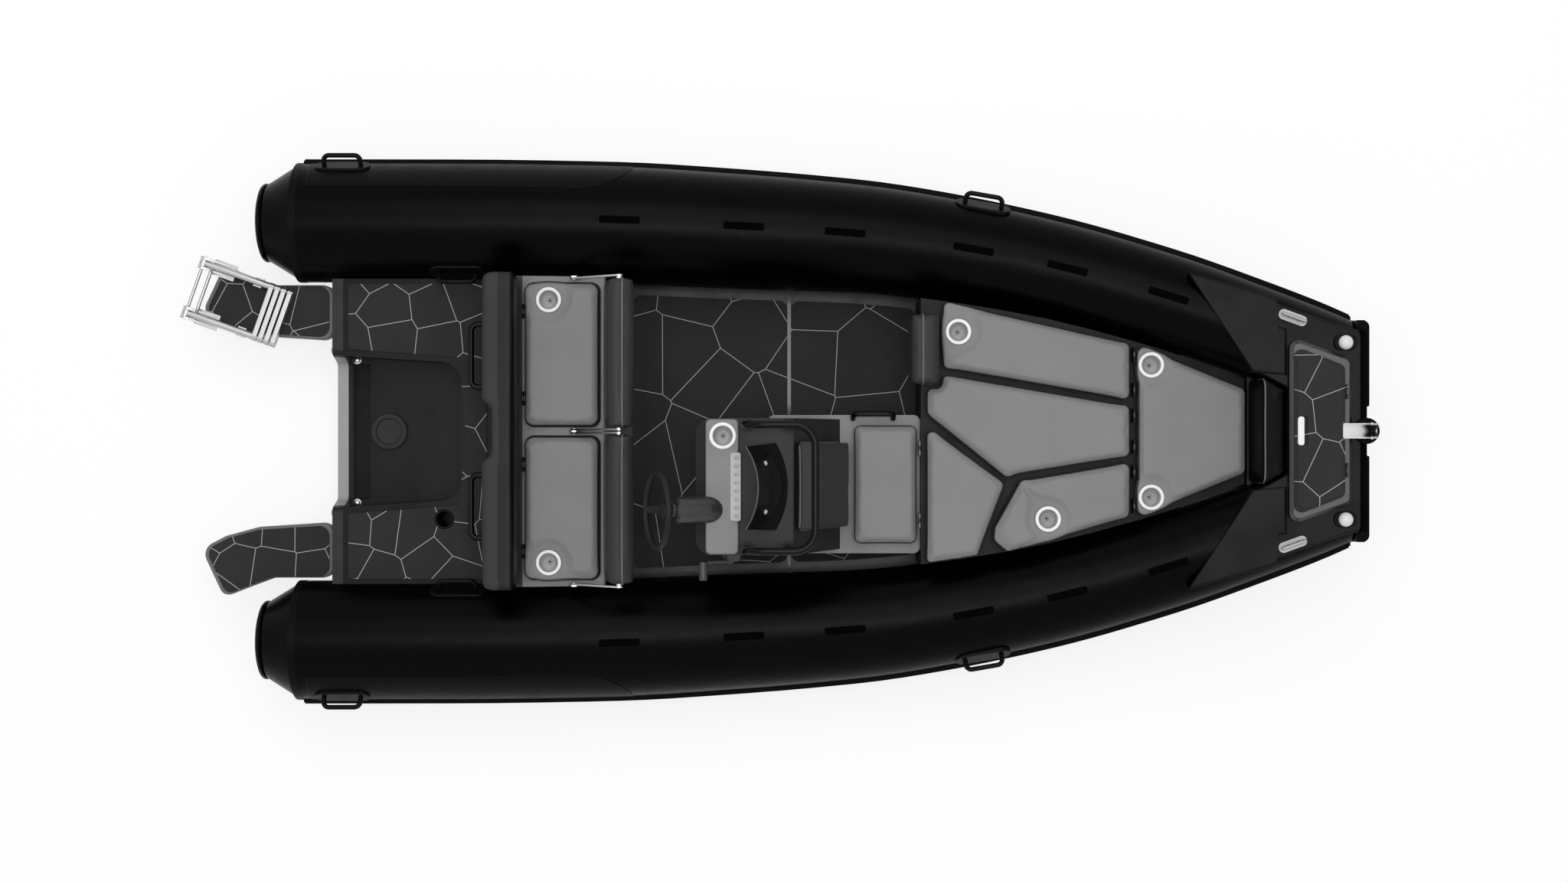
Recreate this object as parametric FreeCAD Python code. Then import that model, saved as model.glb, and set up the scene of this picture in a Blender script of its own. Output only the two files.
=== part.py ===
import FreeCAD, Part
import math
import os

os.makedirs("parts", exist_ok=True)

# An open boat with a rigid V hull and an inflated collar, in millimetres.
# X runs forward from the aft face of the transom, Y to port and Z up from the water.

# Fits shared by all pieces
SEAT_GAP = 0.3          # between a piece and what it lies on
RUN_GAP = 0.5           # radial play of a sliding or turning pair
MOVE_GAP = 7.0          # between a moving piece and its neighbour
OVERRUN = 60.0          # how far a cutting tool runs past the piece
SEAM_INSET = 4.0        # how far a tool reaches into the piece it joins

# Hull
HULL_LENGTH = 4650.0
KEEL_DEPTH = 380.0
CHINE_HALF = 800.0
CHINE_FLAT = 26.0
SIDE_FLARE = 45.0
STRAKE_WIDTH = 30.0
FLOOR_HEIGHT = 112.0
BOW_FLOOR_HEIGHT = 260.0
BOW_BED_HEIGHT = 560.0
FLOOR_LENGTH = 3700.0
WELL_LENGTH = 4200.0
LEDGE_WIDTH = 25.0
TRANSOM_THICKNESS = 50.0
MOTOR_PAD_THICKNESS = 4.0
MOTOR_PAD_HALF = 165.0
MOTOR_PAD_DROP = 25.0
MOTOR_PAD_HEIGHT = 280.0
MOTOR_CUT_HEIGHT = 270.0
# Along the hull, keel, chine half width, chine height, top of the side, flare, strake
HULL_SHARES = (
    (0.0, -1.0, 0.987, -0.25, 0.446, 1.0, 1.0),
    (0.32, -1.0, 1.0, -0.237, 0.446, 1.0, 1.0),
    (0.54, -0.987, 0.931, -0.171, 0.464, 1.0, 1.0),
    (0.71, -0.868, 0.75, -0.026, 0.607, 1.0, 0.9),
    (0.84, -0.553, 0.525, 0.21, 0.839, 1.0, 0.7),
    (0.925, -0.053, 0.325, 0.5, 1.07, 1.0, 0.4),
    (0.98, 0.632, 0.1375, 0.868, 1.07, 0.5, 0.2),
    (0.998, 1.05, 0.05, 1.1, 1.07, 0.3, 0.1),
)
HULL_SECTIONS = 22
STRAKE_PLACE_SHARES = (0.36, 0.68)

# Inflated collar
TUBE_RADIUS = 277.0
TUBE_SPREAD = 972.0
TUBE_LIFT = 320.0
BOW_SHEER = 270.0
CONE_LENGTH = 164.0
CONE_END_RADIUS = 176.0
CAP_RADIUS = 183.0
CAP_RIM = 10.0
CAP_CROWN = 33.0
# Along the hull, half spread, rise and radius
TUBE_SHARES = (
    (-0.032, 1.0, 0.0, 1.0),
    (0.124, 0.999, 0.0, 1.0),
    (0.278, 0.989, 0.0, 0.996),
    (0.400, 0.961, 0.007, 0.975),
    (0.523, 0.924, 0.056, 0.917),
    (0.584, 0.889, 0.093, 0.888),
    (0.706, 0.780, 0.278, 0.830),
    (0.824, 0.620, 0.630, 0.780),
    (0.882, 0.5195, 0.889, 0.758),
    (0.941, 0.4126, 1.0, 0.744),
    (0.964, 0.369, 1.0, 0.740),
    (1.04, 0.2195, 1.0, 0.740),
)
TUBE_END_SHARE = 1.03
TUBE_SECTIONS = 25

# Rub rail and bow fender
RAIL_HALF_HEIGHT = 48.0
RAIL_DEPTH = 19.0
# Out from the tube in rail depths, up in rail half heights
RAIL_PROFILE_SHARES = ((-0.5, -1.0), (0.5, -0.92), (0.55, -0.46), (1.0, -0.36), (1.0, 0.36),
                       (0.55, 0.46), (0.5, 0.92), (-0.5, 1.0))
RAIL_START_SHARE = -0.03
RAIL_END_SHARE = 1.01
RAIL_SECTIONS = 25
NOSE_THICKNESS = 22.0
NOSE_HALF_WIDTH = 500.0
NOSE_HALF_HEIGHT = 196.0
NOSE_CORNER = 150.0
FENDER_DEPTH = 62.0
FENDER_HALF_HEIGHT = 84.0
FENDER_NOTCH_HALF = 104.0
FENDER_NOTCH_DEPTH = 30.0
# Forward in fender depths, up in fender half heights
FENDER_PROFILE_SHARES = ((0.0, -1.0), (0.55, -1.0), (0.62, -0.72), (1.0, -0.66), (1.0, -0.30),
                         (0.66, -0.22), (0.66, 0.22), (1.0, 0.30), (1.0, 0.66), (0.62, 0.72),
                         (0.55, 1.0), (0.0, 1.0))

# Moulded grab handles on the collar: along the hull, degrees up from level, side of the tube
GRAB_SHARES = ((0.0125, 28.0, 1), (0.64, 28.0, 1), (0.127, 32.0, -1))
GRAB_LENGTH = 255.0
GRAB_WIDTH = 90.0
GRAB_BASE = 11.0
GRAB_RISE = 58.0
GRAB_SPAN = 168.0
GRAB_GRIP_RADIUS = 11.0
GRAB_BEND = 30.0

# Webbing straps along the crest of the collar
STRAP_LENGTH = 185.0
STRAP_WIDTH = 34.0
STRAP_THICKNESS = 6.0
STRAP_SHARES = (0.289, 0.411, 0.511, 0.639, 0.732, 0.831)

# Aft deck and motor well
DECK_HEIGHT = 400.0
DECK_LENGTH = 845.0
COAMING_LAP = 103.0
COAMING_AFT = DECK_LENGTH - COAMING_LAP
WELL_BORDER = 150.0
WELL_END = COAMING_AFT - WELL_BORDER
WELL_AFT_HALF = 356.0
WELL_FORE_HALF = 316.0
WELL_CORNER = 90.0
WELL_FLOOR = 250.0
WELL_SLOT = 100.0
WELL_SLOT_FLOOR = 150.0
SOCKET_MARGIN = 222.0
SOCKET_FORWARD = COAMING_AFT - SOCKET_MARGIN
SOCKET_OFFSET = 406.0
SOCKET_RADIUS = 36.0
SOCKET_DEPTH = 200.0
HATCH_FORWARD = 238.0
HATCH_RADIUS = 88.0
HATCH_THICKNESS = 14.0
PAD_THICKNESS = 8.0
PAD_MARGIN = 26.0
PAD_CORNER = 36.0

# Stern coaming
COAMING_DEPTH = 140.0
COAMING_HALF = 720.0
COAMING_TOP = 765.0
COAMING_CORNER = 40.0
COAMING_NOTCH_HALF = 100.0
COAMING_NOTCH_DEPTH = 46.0
COAMING_TOE = 46.0
COAMING_TOE_TOP = 610.0
COAMING_CREASE = 12.0
STERN_RAIL_INNER = 199.0
STERN_RAIL_OUTER = 485.0
STERN_RAIL_REACH = 70.0
STERN_RAIL_HEIGHT = 600.0
STERN_RAIL_RADIUS = 13.0
STERN_RAIL_BEND = 42.0
STERN_RAIL_FOOT = 28.0

# Swim platforms and ladder
PLATFORM_HEIGHT = 340.0
PLATFORM_THICKNESS = 62.0
PLATFORM_LENGTH = 625.0
PLATFORM_WIDTH = 773.0
PLATFORM_CORNER = 60.0
# Aft in platform lengths, outboard in platform widths
PLATFORM_SHARES = ((0.0, 0.546), (0.57, 0.576), (0.813, 0.629), (1.0, 0.707), (0.83, 1.0),
                   (0.70, 0.958), (0.584, 0.922), (0.45, 0.882), (0.0, 0.882))
PLATFORM_PAD_SHARE = 0.92
BRACE_THICKNESS = 30.0
BRACE_DEPTH = 150.0
BRACE_REACH = 330.0
BRACE_PLACE_SHARES = (0.60, 0.84)
LADDER_AFT = 640.0
LADDER_OFFSET = 666.0
LADDER_TURN = 19.5
LADDER_HEIGHT = 386.0
LADDER_HALF = 122.0
LADDER_RADII = (16.0, 12.2, 8.7, 5.4)
LADDER_RAIL = 326.0
LADDER_TREAD = 23.0
LADDER_TREAD_PITCH = 30.0
LADDER_TREAD_HEIGHT = 42.0
LADDER_PIVOT_RADIUS = 8.0
LADDER_EAR_THICKNESS = 9.0
LADDER_EAR_RADIUS = 20.0
LADDER_EAR_GAP = 2.5
LADDER_FOOT = 150.0
LADDER_FOOT_THICKNESS = 8.0

# Stern bench with two lids, cushions and flip-over backrests
BENCH_DEPTH = 423.0
BENCH_TOP = 450.0
BENCH_WALL = 24.0
BENCH_MOUTH_MARGIN = 32.0
BENCH_SEAT_AFT = 54.0
BENCH_SEAT_DEPTH = 348.0
BENCH_SEAT_INNER = 18.0
BENCH_SEAT_OUTER = 686.0
LID_THICKNESS = 10.0
CUSHION_THICKNESS = 60.0
CUSHION_CORNER = 43.0
BENCH_HINGE_RISE = 24.0
BENCH_HINGE_AHEAD = 9.0
HINGE_RADIUS = 5.0
HINGE_LEAF = 4.0
HINGE_WIDTH = 64.0
HINGE_PLACE_SHARES = (0.2, 0.8)
CUP_FORWARD = 115.0
CUP_OFFSET = 601.0
CUP_BORE = 45.0
CUP_WALL = 3.0
CUP_FLANGE = 58.0
CUP_FLANGE_THICKNESS = 4.0
CUP_DEPTH = 74.0
FLIP_PIVOT_AHEAD = 285.0
FLIP_PIVOT_RISE = 60.0
FLIP_BAR_AHEAD = 505.0
FLIP_BAR_RISE = 250.0
FLIP_BAR_DEPTH = 118.0
FLIP_BAR_HEIGHT = 168.0
FLIP_BAR_CORNER = 40.0
FLIP_BAR_LEAN = 12.0
FLIP_ARM_WIDTH = 34.0
FLIP_ARM_THICKNESS = 8.0
FLIP_INNER = 3.6
FLIP_OUTER = 696.0
FLIP_PIN_RADIUS = 7.0
FLIP_POST_THICKNESS = 6.0
FLIP_POST_WIDTH = 60.0

# Cockpit floor pads
FLOOR_PAD_THICKNESS = 8.0
FLOOR_PAD_JOINT = 19.0
FLOOR_PAD_MARGIN = 34.0
FLOOR_PAD_SPLIT_AHEAD = 401.0
FLOOR_PAD_CORNER = 40.0

# Steering console, its seat and backrest
HELM_ROOM = 437.0
CONSOLE_AFT = DECK_LENGTH + BENCH_DEPTH + HELM_ROOM
CONSOLE_CENTRE = -243.0
CONSOLE_HALF = 298.0
CONSOLE_BASE_END = 1011.5
CONSOLE_BASE_HALF = 318.0
CONSOLE_BASE_START = 314.0
CONSOLE_DASH = 1000.0
CONSOLE_KICK = 34.0
CONSOLE_SHELF_LENGTH = 143.0
CONSOLE_SHELF_THICKNESS = 26.0
CONSOLE_PANEL = 45.0
CONSOLE_WALL = 26.0
CONSOLE_KICK_HEIGHT = 100.0
CONSOLE_KICK_SLOPE = 40.0
CONSOLE_SEAT_TOP = 455.0
CONSOLE_SEAT_AHEAD = 702.0
CONSOLE_SEAT_LENGTH = 297.0
CONSOLE_SEAT_HALF = 276.0
BODY_CORNER = 70.0
SCREEN_TOP_AHEAD = 254.0
SCREEN_FOOT_AHEAD = 403.0
SCREEN_TOP = 1296.0
SCREEN_HALF = 190.0
SCREEN_BOW = 52.0
SCREEN_THICKNESS = 6.0
SCREEN_TAPER_SHARE = 0.92
RAIL_HOOP_AHEAD = 204.0
RAIL_HOOP_LENGTH = 331.0
RAIL_HOOP_HALF = 268.0
RAIL_HOOP_TOP = 1300.0
RAIL_HOOP_RADIUS = 16.0
RAIL_HOOP_BEND = 90.0
RAIL_HOOP_LEAN = 115.0
RAIL_HOOP_FOOT = 30.0
RAIL_HOOP_FOOT_RISE = 10.0
SWITCH_AHEAD = 154.0
SWITCH_LENGTH = 44.0
SWITCH_HALF = 148.0
SWITCH_THICKNESS = 12.0
SWITCH_COUNT = 8
SWITCH_WIDTH = 24.0
SWITCH_RISE = 7.0
SHELF_CUP_AHEAD = 120.0
SHELF_CUP_OFFSET = 221.0
BACKREST_AHEAD = 427.0
BACKREST_DEPTH = 85.0
BACKREST_HALF = 198.0
BACKREST_TOP = 1000.0
BACKREST_FOOT = 540.0
BACKREST_LEAN = 183.0
BACKREST_CORNER = 26.0
SIDE_RAIL_AHEAD = 691.0
SIDE_RAIL_LENGTH = 208.0
SIDE_RAIL_RISE = 74.0
SIDE_RAIL_OUT = 20.0
SIDE_RAIL_RADIUS = 12.0
SIDE_RAIL_BEND = 28.0

# Steering wheel, helm and throttle
WHEEL_AHEAD = -160.0
WHEEL_OFFSET = -100.0
WHEEL_HEIGHT = 1104.0
WHEEL_TILT = 21.0
WHEEL_RADIUS = 162.0
WHEEL_RIM = 13.0
WHEEL_HUB = 38.0
WHEEL_HUB_LENGTH = 46.0
WHEEL_SPOKES = 3
WHEEL_SPOKE_WIDTH = 30.0
WHEEL_SPOKE_THICKNESS = 9.0
WHEEL_DISH = 40.0
HELM_NECK_RADIUS = 30.0
HELM_NECK_LENGTH = 46.0
HELM_RADIUS = 58.0
HELM_LENGTH = 150.0
HELM_NOSE = 70.0
THROTTLE_AHEAD = 155.0
THROTTLE_HEIGHT = 850.0
THROTTLE_BASE = 52.0
THROTTLE_DEPTH = 34.0
THROTTLE_ARM = 160.0
THROTTLE_ARM_WIDTH = 22.0
THROTTLE_ARM_THICKNESS = 14.0
THROTTLE_KNOB = 19.0
THROTTLE_KNOB_LENGTH = 84.0
THROTTLE_LEAN = 50.0

# Bow lounge
LOUNGE_AFT = CONSOLE_AFT + CONSOLE_BASE_END + RUN_GAP
BOW_REST_AFT = 4204.0
LOUNGE_REST_GAP = 8.0
LOUNGE_LENGTH = BOW_REST_AFT - LOUNGE_REST_GAP - LOUNGE_AFT
LOUNGE_PEAK_DEPTH = 501.0
LOUNGE_STEP = LOUNGE_LENGTH - LOUNGE_PEAK_DEPTH
LOUNGE_TOP = 520.0
LOUNGE_SIDE_GAP = 6.0
LOUNGE_WALL = 30.0
LOUNGE_SEAT_AFT = 16.0
LOUNGE_HINGE_ROOM = 25.0
LOUNGE_SEAT_LENGTH = LOUNGE_STEP - LOUNGE_SEAT_AFT - LOUNGE_HINGE_ROOM
LOUNGE_SEAT_HALF = 613.0
LOUNGE_CORNER = 30.0
LOUNGE_HINGE_AHEAD = 12.0
LOUNGE_MOUTH_MARGIN = 46.0
LOUNGE_STEPS = 8
# Along the seat in seat lengths, across in seat half widths
LOUNGE_PORT_SHARES = ((0.078, 0.975), (1.0, 0.657), (1.0, 0.22), (0.078, 0.464))
LOUNGE_CENTRE_SHARES = ((0.078, 0.434), (1.0, 0.194), (1.0, -0.193), (0.456, -0.326),
                        (0.392, -0.36), (0.018, 0.1), (0.0, 0.134), (0.0, 0.325), (0.078, 0.325))
LOUNGE_AFT_SHARES = ((0.0, 0.059), (0.395, -0.383), (0.254, -0.95), (0.037, -1.0), (0.0, -0.979))
LOUNGE_STARBOARD_SHARES = ((0.456, -0.36), (1.0, -0.22), (1.0, -0.64), (0.399, -0.914),
                           (0.323, -0.814), (0.328, -0.718))
LOUNGE_PEAK_AFT = LOUNGE_STEP
LOUNGE_PEAK_GAP = 2.0
LOUNGE_PEAK_LENGTH = LOUNGE_PEAK_DEPTH - LOUNGE_PEAK_GAP
LOUNGE_PEAK_AFT_HALF = 401.0
LOUNGE_PEAK_FORE_HALF = 196.0
LOUNGE_CUP_SHARES = ((0.16, 0.737), (0.595, -0.651))
PEAK_CUP_SHARES = ((0.128, 0.75), (0.128, -0.75))
BOLSTER_LAP = 49.0
BOLSTER_AFT = LOUNGE_AFT - BOLSTER_LAP
BOLSTER_DEPTH = 118.0
BOLSTER_INNER = 211.0
BOLSTER_OUTER = 528.0
BOLSTER_TOP = 706.0
BOW_REST_DEPTH = 116.0
BOW_REST_HALF = 240.0
BOW_REST_TOP = 790.0
BOW_REST_LEAN = 22.0

# Bow deck with the anchor locker, hatch, roller, cleats and lamps
BOW_DECK_AFT = 3900.0
BOW_DECK_LOW = 740.0
BOW_DECK_HIGH = 838.0
BOW_DECK_TIP_HALF = 706.0
BOW_DECK_FRONT_HALF = 446.0
BOW_DECK_THROAT = 4336.0
BOW_DECK_SHOULDER = 4205.0
BOW_DECK_SHOULDER_HALF = 262.0
BOW_DECK_THROAT_HALF = 190.0
BOW_DECK_EDGE = 14.0
BOW_DECK_ROUND = 8.4
PLINTH_AFT = 4329.0
PLINTH_LENGTH = 276.0
PLINTH_AFT_HALF = 418.0
PLINTH_FORE_HALF = 322.0
PLINTH_TOP = 856.0
PLINTH_BEVEL = 16.0
PLINTH_CORNER = 40.0
LOCKER_AFT = 4372.0
LOCKER_LENGTH = 172.0
LOCKER_AFT_HALF = 150.0
LOCKER_FORE_HALF = 104.0
LOCKER_FLOOR = 330.0
HATCH_AFT_GAP = 16.0
HATCH_LENGTH = 222.0
HATCH_AFT_HALF = 375.0
HATCH_FORE_HALF = 288.0
HATCH_PLATE = 18.0
HATCH_PAD = 6.0
HATCH_PAD_MARGIN = 12.0
HATCH_CORNER = 34.0
LATCH_LENGTH = 44.0
LATCH_HALF = 64.0
LATCH_DEPTH = 12.0
ROLLER_CHANNEL_AFT = 4561.0
ROLLER_CHANNEL_LENGTH = 150.0
ROLLER_CHANNEL_HALF = 33.0
ROLLER_CHANNEL_WALL = 4.0
ROLLER_RADIUS = 30.0
ROLLER_WAIST = 17.0
ROLLER_HALF = 25.0
ROLLER_MIDDLE_SHARE = 0.78
ROLLER_GROOVE_SHARES = (0.84, 0.5, 0.16)
ROLLER_PIN = 6.0
ROLLER_AHEAD = 118.0
CLEAT_FORWARD = 4349.0
CLEAT_OFFSET = 503.0
CLEAT_LENGTH = 130.0
CLEAT_WIDTH = 46.0
CLEAT_PLATE = 6.0
CLEAT_RISE = 34.0
CLEAT_HORN_RADIUS = 8.0
CLEAT_TURN = 20.0
LAMP_FORWARD = 4578.0
LAMP_OFFSET = 392.0
LAMP_RADIUS = 31.0
LAMP_BASE_LENGTH = 102.0
LAMP_BASE_WIDTH = 70.0
LAMP_BASE_RISE = 14.0

# Towing and mooring eyes
EYE_RADIUS = 26.0
EYE_BORE = 14.0
EYE_THICKNESS = 14.0
EYE_STAND = 24.0
EYE_FOOT = 40.0
EYE_OFFSET = 383.0
EYE_HEIGHT = 180.0
STEM_EYE_FORWARD = 4318.0
STEM_EYE_DROP = 42.0


def vec(x, y, z=0.0):
    return FreeCAD.Vector(x, y, z)


# Turns a face drawn on XY so that its X runs across the boat and its Y upwards
ACROSS_BOAT = FreeCAD.Rotation(vec(0, 1, 0), vec(0, 0, 1), vec(1, 0, 0))


def smooth_at(table, place, column):
    """Value of one column at a place along the hull, on a smooth curve without overshoot."""
    rows = [row for row in table if row[0] <= place] or [table[0]]
    index = min(len(rows) - 1, len(table) - 2)

    def slope(i):
        return (table[i + 1][column] - table[i][column]) / (table[i + 1][0] - table[i][0])

    def tangent(i):
        if i == 0:
            return slope(0)
        if i == len(table) - 1:
            return slope(i - 1)
        before, after = slope(i - 1), slope(i)
        if before * after <= 0.0:
            return 0.0
        return 2.0 * before * after / (before + after)

    width = table[index + 1][0] - table[index][0]
    t = (place - table[index][0]) / width
    start, end = table[index][column], table[index + 1][column]
    rise_in, rise_out = tangent(index) * width, tangent(index + 1) * width
    return ((2 * t ** 3 - 3 * t ** 2 + 1) * start + (t ** 3 - 2 * t ** 2 + t) * rise_in
            + (-2 * t ** 3 + 3 * t ** 2) * end + (t ** 3 - t ** 2) * rise_out)


def even_shares(start, end, count):
    return [start + (end - start) * step / (count - 1) for step in range(count)]


def rounded_wire(points, radius):
    """Closed outline in the XY plane whose corners are arcs that touch both sides."""
    count = len(points)
    places = [vec(*point) for point in points]
    arcs = []
    for index, corner in enumerate(places):
        back = places[index - 1] - corner
        ahead = places[(index + 1) % count] - corner
        half = back.getAngle(ahead) / 2.0
        reach = min(radius / math.tan(half), 0.46 * back.Length, 0.46 * ahead.Length)
        start = corner + vec(*back.normalize()) * reach
        end = corner + vec(*ahead.normalize()) * reach
        bisector = vec(*(back + ahead))
        if math.degrees(half) > 89.0 or reach <= 0.0 or radius <= 0.0:
            arcs.append((corner, None, corner))
            continue
        bisector.normalize()
        bend = reach * math.tan(half)
        middle = corner + bisector * (reach / math.cos(half) - bend)
        arcs.append((start, middle, end))
    edges = []
    for index, (start, middle, end) in enumerate(arcs):
        if middle is not None:
            edges.append(Part.Arc(start, middle, end).toShape())
        edges.append(Part.LineSegment(end, arcs[(index + 1) % count][0]).toShape())
    return Part.Wire(edges)


def plate(points, low, high, radius=0.0):
    """Upright prism on an outline, with its upright edges rounded."""
    face = Part.Face(rounded_wire(points, radius))
    face.translate(vec(0, 0, low))
    return face.extrude(vec(0, 0, high - low))


def side_plate(points, near, far, radius=0.0):
    """Prism along Y on an outline of (X, Z) points."""
    face = Part.Face(rounded_wire(points, radius))
    face.rotate(vec(0, 0, 0), vec(1, 0, 0), 90)
    face.translate(vec(0, near, 0))
    return face.extrude(vec(0, far - near, 0))


def block(x_low, x_high, y_low, y_high, z_low, z_high):
    return Part.makeBox(x_high - x_low, y_high - y_low, z_high - z_low, vec(x_low, y_low, z_low))


def rod(start, end, radius):
    along = end - start
    return Part.makeCylinder(radius, along.Length, start, along)


def scaled(shares, x_start, x_size, y_size):
    return [(x_start + along * x_size, across * y_size) for along, across in shares]


def both_sides(half):
    """Closed outline from the points of its port half."""
    return list(half) + [(x, -y) for x, y in reversed(half)]


def mirrored(shape):
    return shape.mirror(vec(0, 0, 0), vec(0, 1, 0))


def pair(shape):
    """A piece and its mirror image, as two solids."""
    return Part.makeCompound([shape, mirrored(shape)])


def bent_path(points, bend):
    """Open path of straight runs joined by arcs that touch them."""
    edges = []
    start = points[0]
    for index in range(1, len(points) - 1):
        corner = points[index]
        back = (points[index - 1] - corner)
        ahead = (points[index + 1] - corner)
        half = back.getAngle(ahead) / 2.0
        reach = min(bend / math.tan(half), 0.45 * back.Length, 0.45 * ahead.Length)
        back.normalize()
        ahead.normalize()
        entry = corner + back * reach
        leave = corner + ahead * reach
        bisector = back + ahead
        bisector.normalize()
        middle = corner + bisector * (reach / math.cos(half) - reach * math.tan(half))
        edges.append(Part.LineSegment(start, entry).toShape())
        edges.append(Part.Arc(entry, middle, leave).toShape())
        start = leave
    edges.append(Part.LineSegment(start, points[-1]).toShape())
    return Part.Wire(edges)


def bent_rod(points, bend, radius):
    """Round bar along a path with even bends."""
    path = bent_path(points, bend)
    first = points[1] - points[0]
    ring = Part.Wire(Part.makeCircle(radius, points[0], first))
    return path.makePipeShell([ring], True, False)


def turned(profile, origin, axis):
    """Solid turned from (radius, along) points about an axis through the origin."""
    places = [vec(radius, 0, along) for radius, along in profile]
    wire = Part.makePolygon(places + [places[0]])
    body = Part.Face(wire).revolve(vec(0, 0, 0), vec(0, 0, 1), 360)
    body.Placement = FreeCAD.Placement(origin, FreeCAD.Rotation(vec(0, 0, 1), axis))
    return body


def soften(shape, picked, radius):
    """Rounds the picked edges."""
    return shape.makeFillet(radius, [edge for edge in shape.Edges if picked(edge)])


def level_edges(height):
    """Picks the edges that lie at one height."""
    def picked(edge):
        box = edge.BoundBox
        return abs(box.ZMin - height) < SEAT_GAP and abs(box.ZMax - height) < SEAT_GAP
    return picked


def save(node, shape):
    """Writes one piece, whole solids only."""
    solids = shape.Solids
    whole = solids[0] if len(solids) == 1 else Part.makeCompound(solids)
    whole.exportStep("parts/" + node + ".step")
    print(node, len(solids), "solids", round(whole.Volume / 1000.0), "cm3", whole.isValid())


SHARED_NODES = {}


def add_to(node, shape):
    """Adds a piece to a node that holds several like pieces of one body."""
    SHARED_NODES.setdefault(node, []).append(shape)


def largest(shape):
    return max(shape.Solids, key=lambda solid: solid.Volume)


# Inflated collar
def tube_state(x):
    """Half spread, height and radius of the tube at a place along the hull."""
    place = x / HULL_LENGTH
    across = smooth_at(TUBE_SHARES, place, 1) * TUBE_SPREAD
    height = TUBE_LIFT + smooth_at(TUBE_SHARES, place, 2) * BOW_SHEER
    radius = smooth_at(TUBE_SHARES, place, 3) * TUBE_RADIUS
    return across, height, radius


def tube_heading(x):
    """Unit vector along the tube's centreline."""
    step = 0.004 * HULL_LENGTH
    before, after = tube_state(x - step / 2.0), tube_state(x + step / 2.0)
    heading = vec(step, after[0] - before[0], after[1] - before[1])
    return heading.normalize()


def tube_ring(x, grow, heading=None):
    """Ring across the tube, with its seam always on the outboard side."""
    across, height, radius = tube_state(x)
    heading = heading or tube_heading(x)
    outward = vec(-heading.y, heading.x).normalize()
    ring = Part.Wire(Part.makeCircle(radius + grow))
    turn = FreeCAD.Rotation(outward, heading.cross(outward), heading, "ZXY")
    ring.Placement = FreeCAD.Placement(vec(x, across, height), turn)
    return ring


def inner_line(x):
    """How far out the tube's inboard side lies, seen from above."""
    across, height, radius = tube_state(x)
    heading = tube_heading(x)
    return across - radius * math.hypot(heading.x, heading.y) / heading.x


NOSE_PLANE = HULL_LENGTH
TUBE_START = TUBE_SHARES[0][0] * HULL_LENGTH
CONE_TIP = TUBE_START - CONE_LENGTH
BOW_TUBE_HEIGHT = TUBE_LIFT + BOW_SHEER


def tube_solid(grow):
    """Port tube with its aft cone, cut square at the bow."""
    rings = [tube_ring(TUBE_START, grow, vec(1, 0, 0))]
    shares = even_shares(TUBE_SHARES[0][0], TUBE_END_SHARE, TUBE_SECTIONS)
    rings += [tube_ring(share * HULL_LENGTH, grow) for share in shares[1:]]
    body = Part.makeLoft(rings, True, False)
    limit = NOSE_PLANE + grow
    ahead = block(limit, limit + HULL_LENGTH, -HULL_LENGTH, HULL_LENGTH, -HULL_LENGTH, HULL_LENGTH)
    body = body.cut(ahead)
    cone = Part.makeCone(CONE_END_RADIUS + grow, TUBE_RADIUS + grow, CONE_LENGTH,
                         vec(CONE_TIP, TUBE_SPREAD, TUBE_LIFT), vec(1, 0, 0))
    return body.fuse(cone).removeSplitter()


TUBE = tube_solid(0.0)
TUBE_BED = tube_solid(SEAT_GAP)
TUBE_BEDS = [TUBE_BED, mirrored(TUBE_BED)]


def clear_of_tubes(shape):
    return shape.cut(TUBE_BEDS)


def make_collar():
    save("collar_port", TUBE)
    save("collar_starboard", mirrored(TUBE))
    centre = vec(CONE_TIP - SEAT_GAP, TUBE_SPREAD, TUBE_LIFT)
    crown_steps = 5
    profile = [(0.0, 0.0), (CAP_RADIUS, 0.0), (CAP_RADIUS, CAP_RIM)]
    for step in range(1, crown_steps + 1):
        turn = math.radians(90.0 * step / crown_steps)
        profile.append((CAP_RADIUS * math.cos(turn), CAP_RIM + CAP_CROWN * math.sin(turn)))
    save("end_caps", pair(turned(profile, centre, vec(-1, 0, 0))))


def rail_section(x):
    across, height, radius = tube_state(x)
    heading = tube_heading(x)
    outward = vec(-heading.y, heading.x, 0).normalize()
    places = []
    for out, up in RAIL_PROFILE_SHARES:
        place = vec(x, across, height + up * RAIL_HALF_HEIGHT)
        places.append(place + outward * (radius + out * RAIL_DEPTH))
    return Part.makePolygon(places + [places[0]])


def make_rub_rails():
    shares = even_shares(RAIL_START_SHARE, RAIL_END_SHARE, RAIL_SECTIONS)
    sections = [rail_section(share * HULL_LENGTH) for share in shares]
    rail = Part.makeLoft(sections, True, False)
    ahead = block(NOSE_PLANE, NOSE_PLANE + HULL_LENGTH, 0, HULL_LENGTH, 0, HULL_LENGTH)
    rail = largest(rail.cut(ahead).cut(TUBE_BED))
    save("rub_rails", pair(rail))


def tube_frame(x, lift_deg, side):
    """Point on the tube's skin with its outward normal and heading."""
    across, height, radius = tube_state(x)
    heading = tube_heading(x)
    outward = vec(-heading.y, heading.x, 0).normalize() * side
    turn = math.radians(lift_deg)
    normal = outward * math.cos(turn) + vec(0, 0, 1) * math.sin(turn)
    normal = (normal - heading * normal.dot(heading)).normalize()
    return vec(x, across, height) + normal * radius, normal, heading


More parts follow.
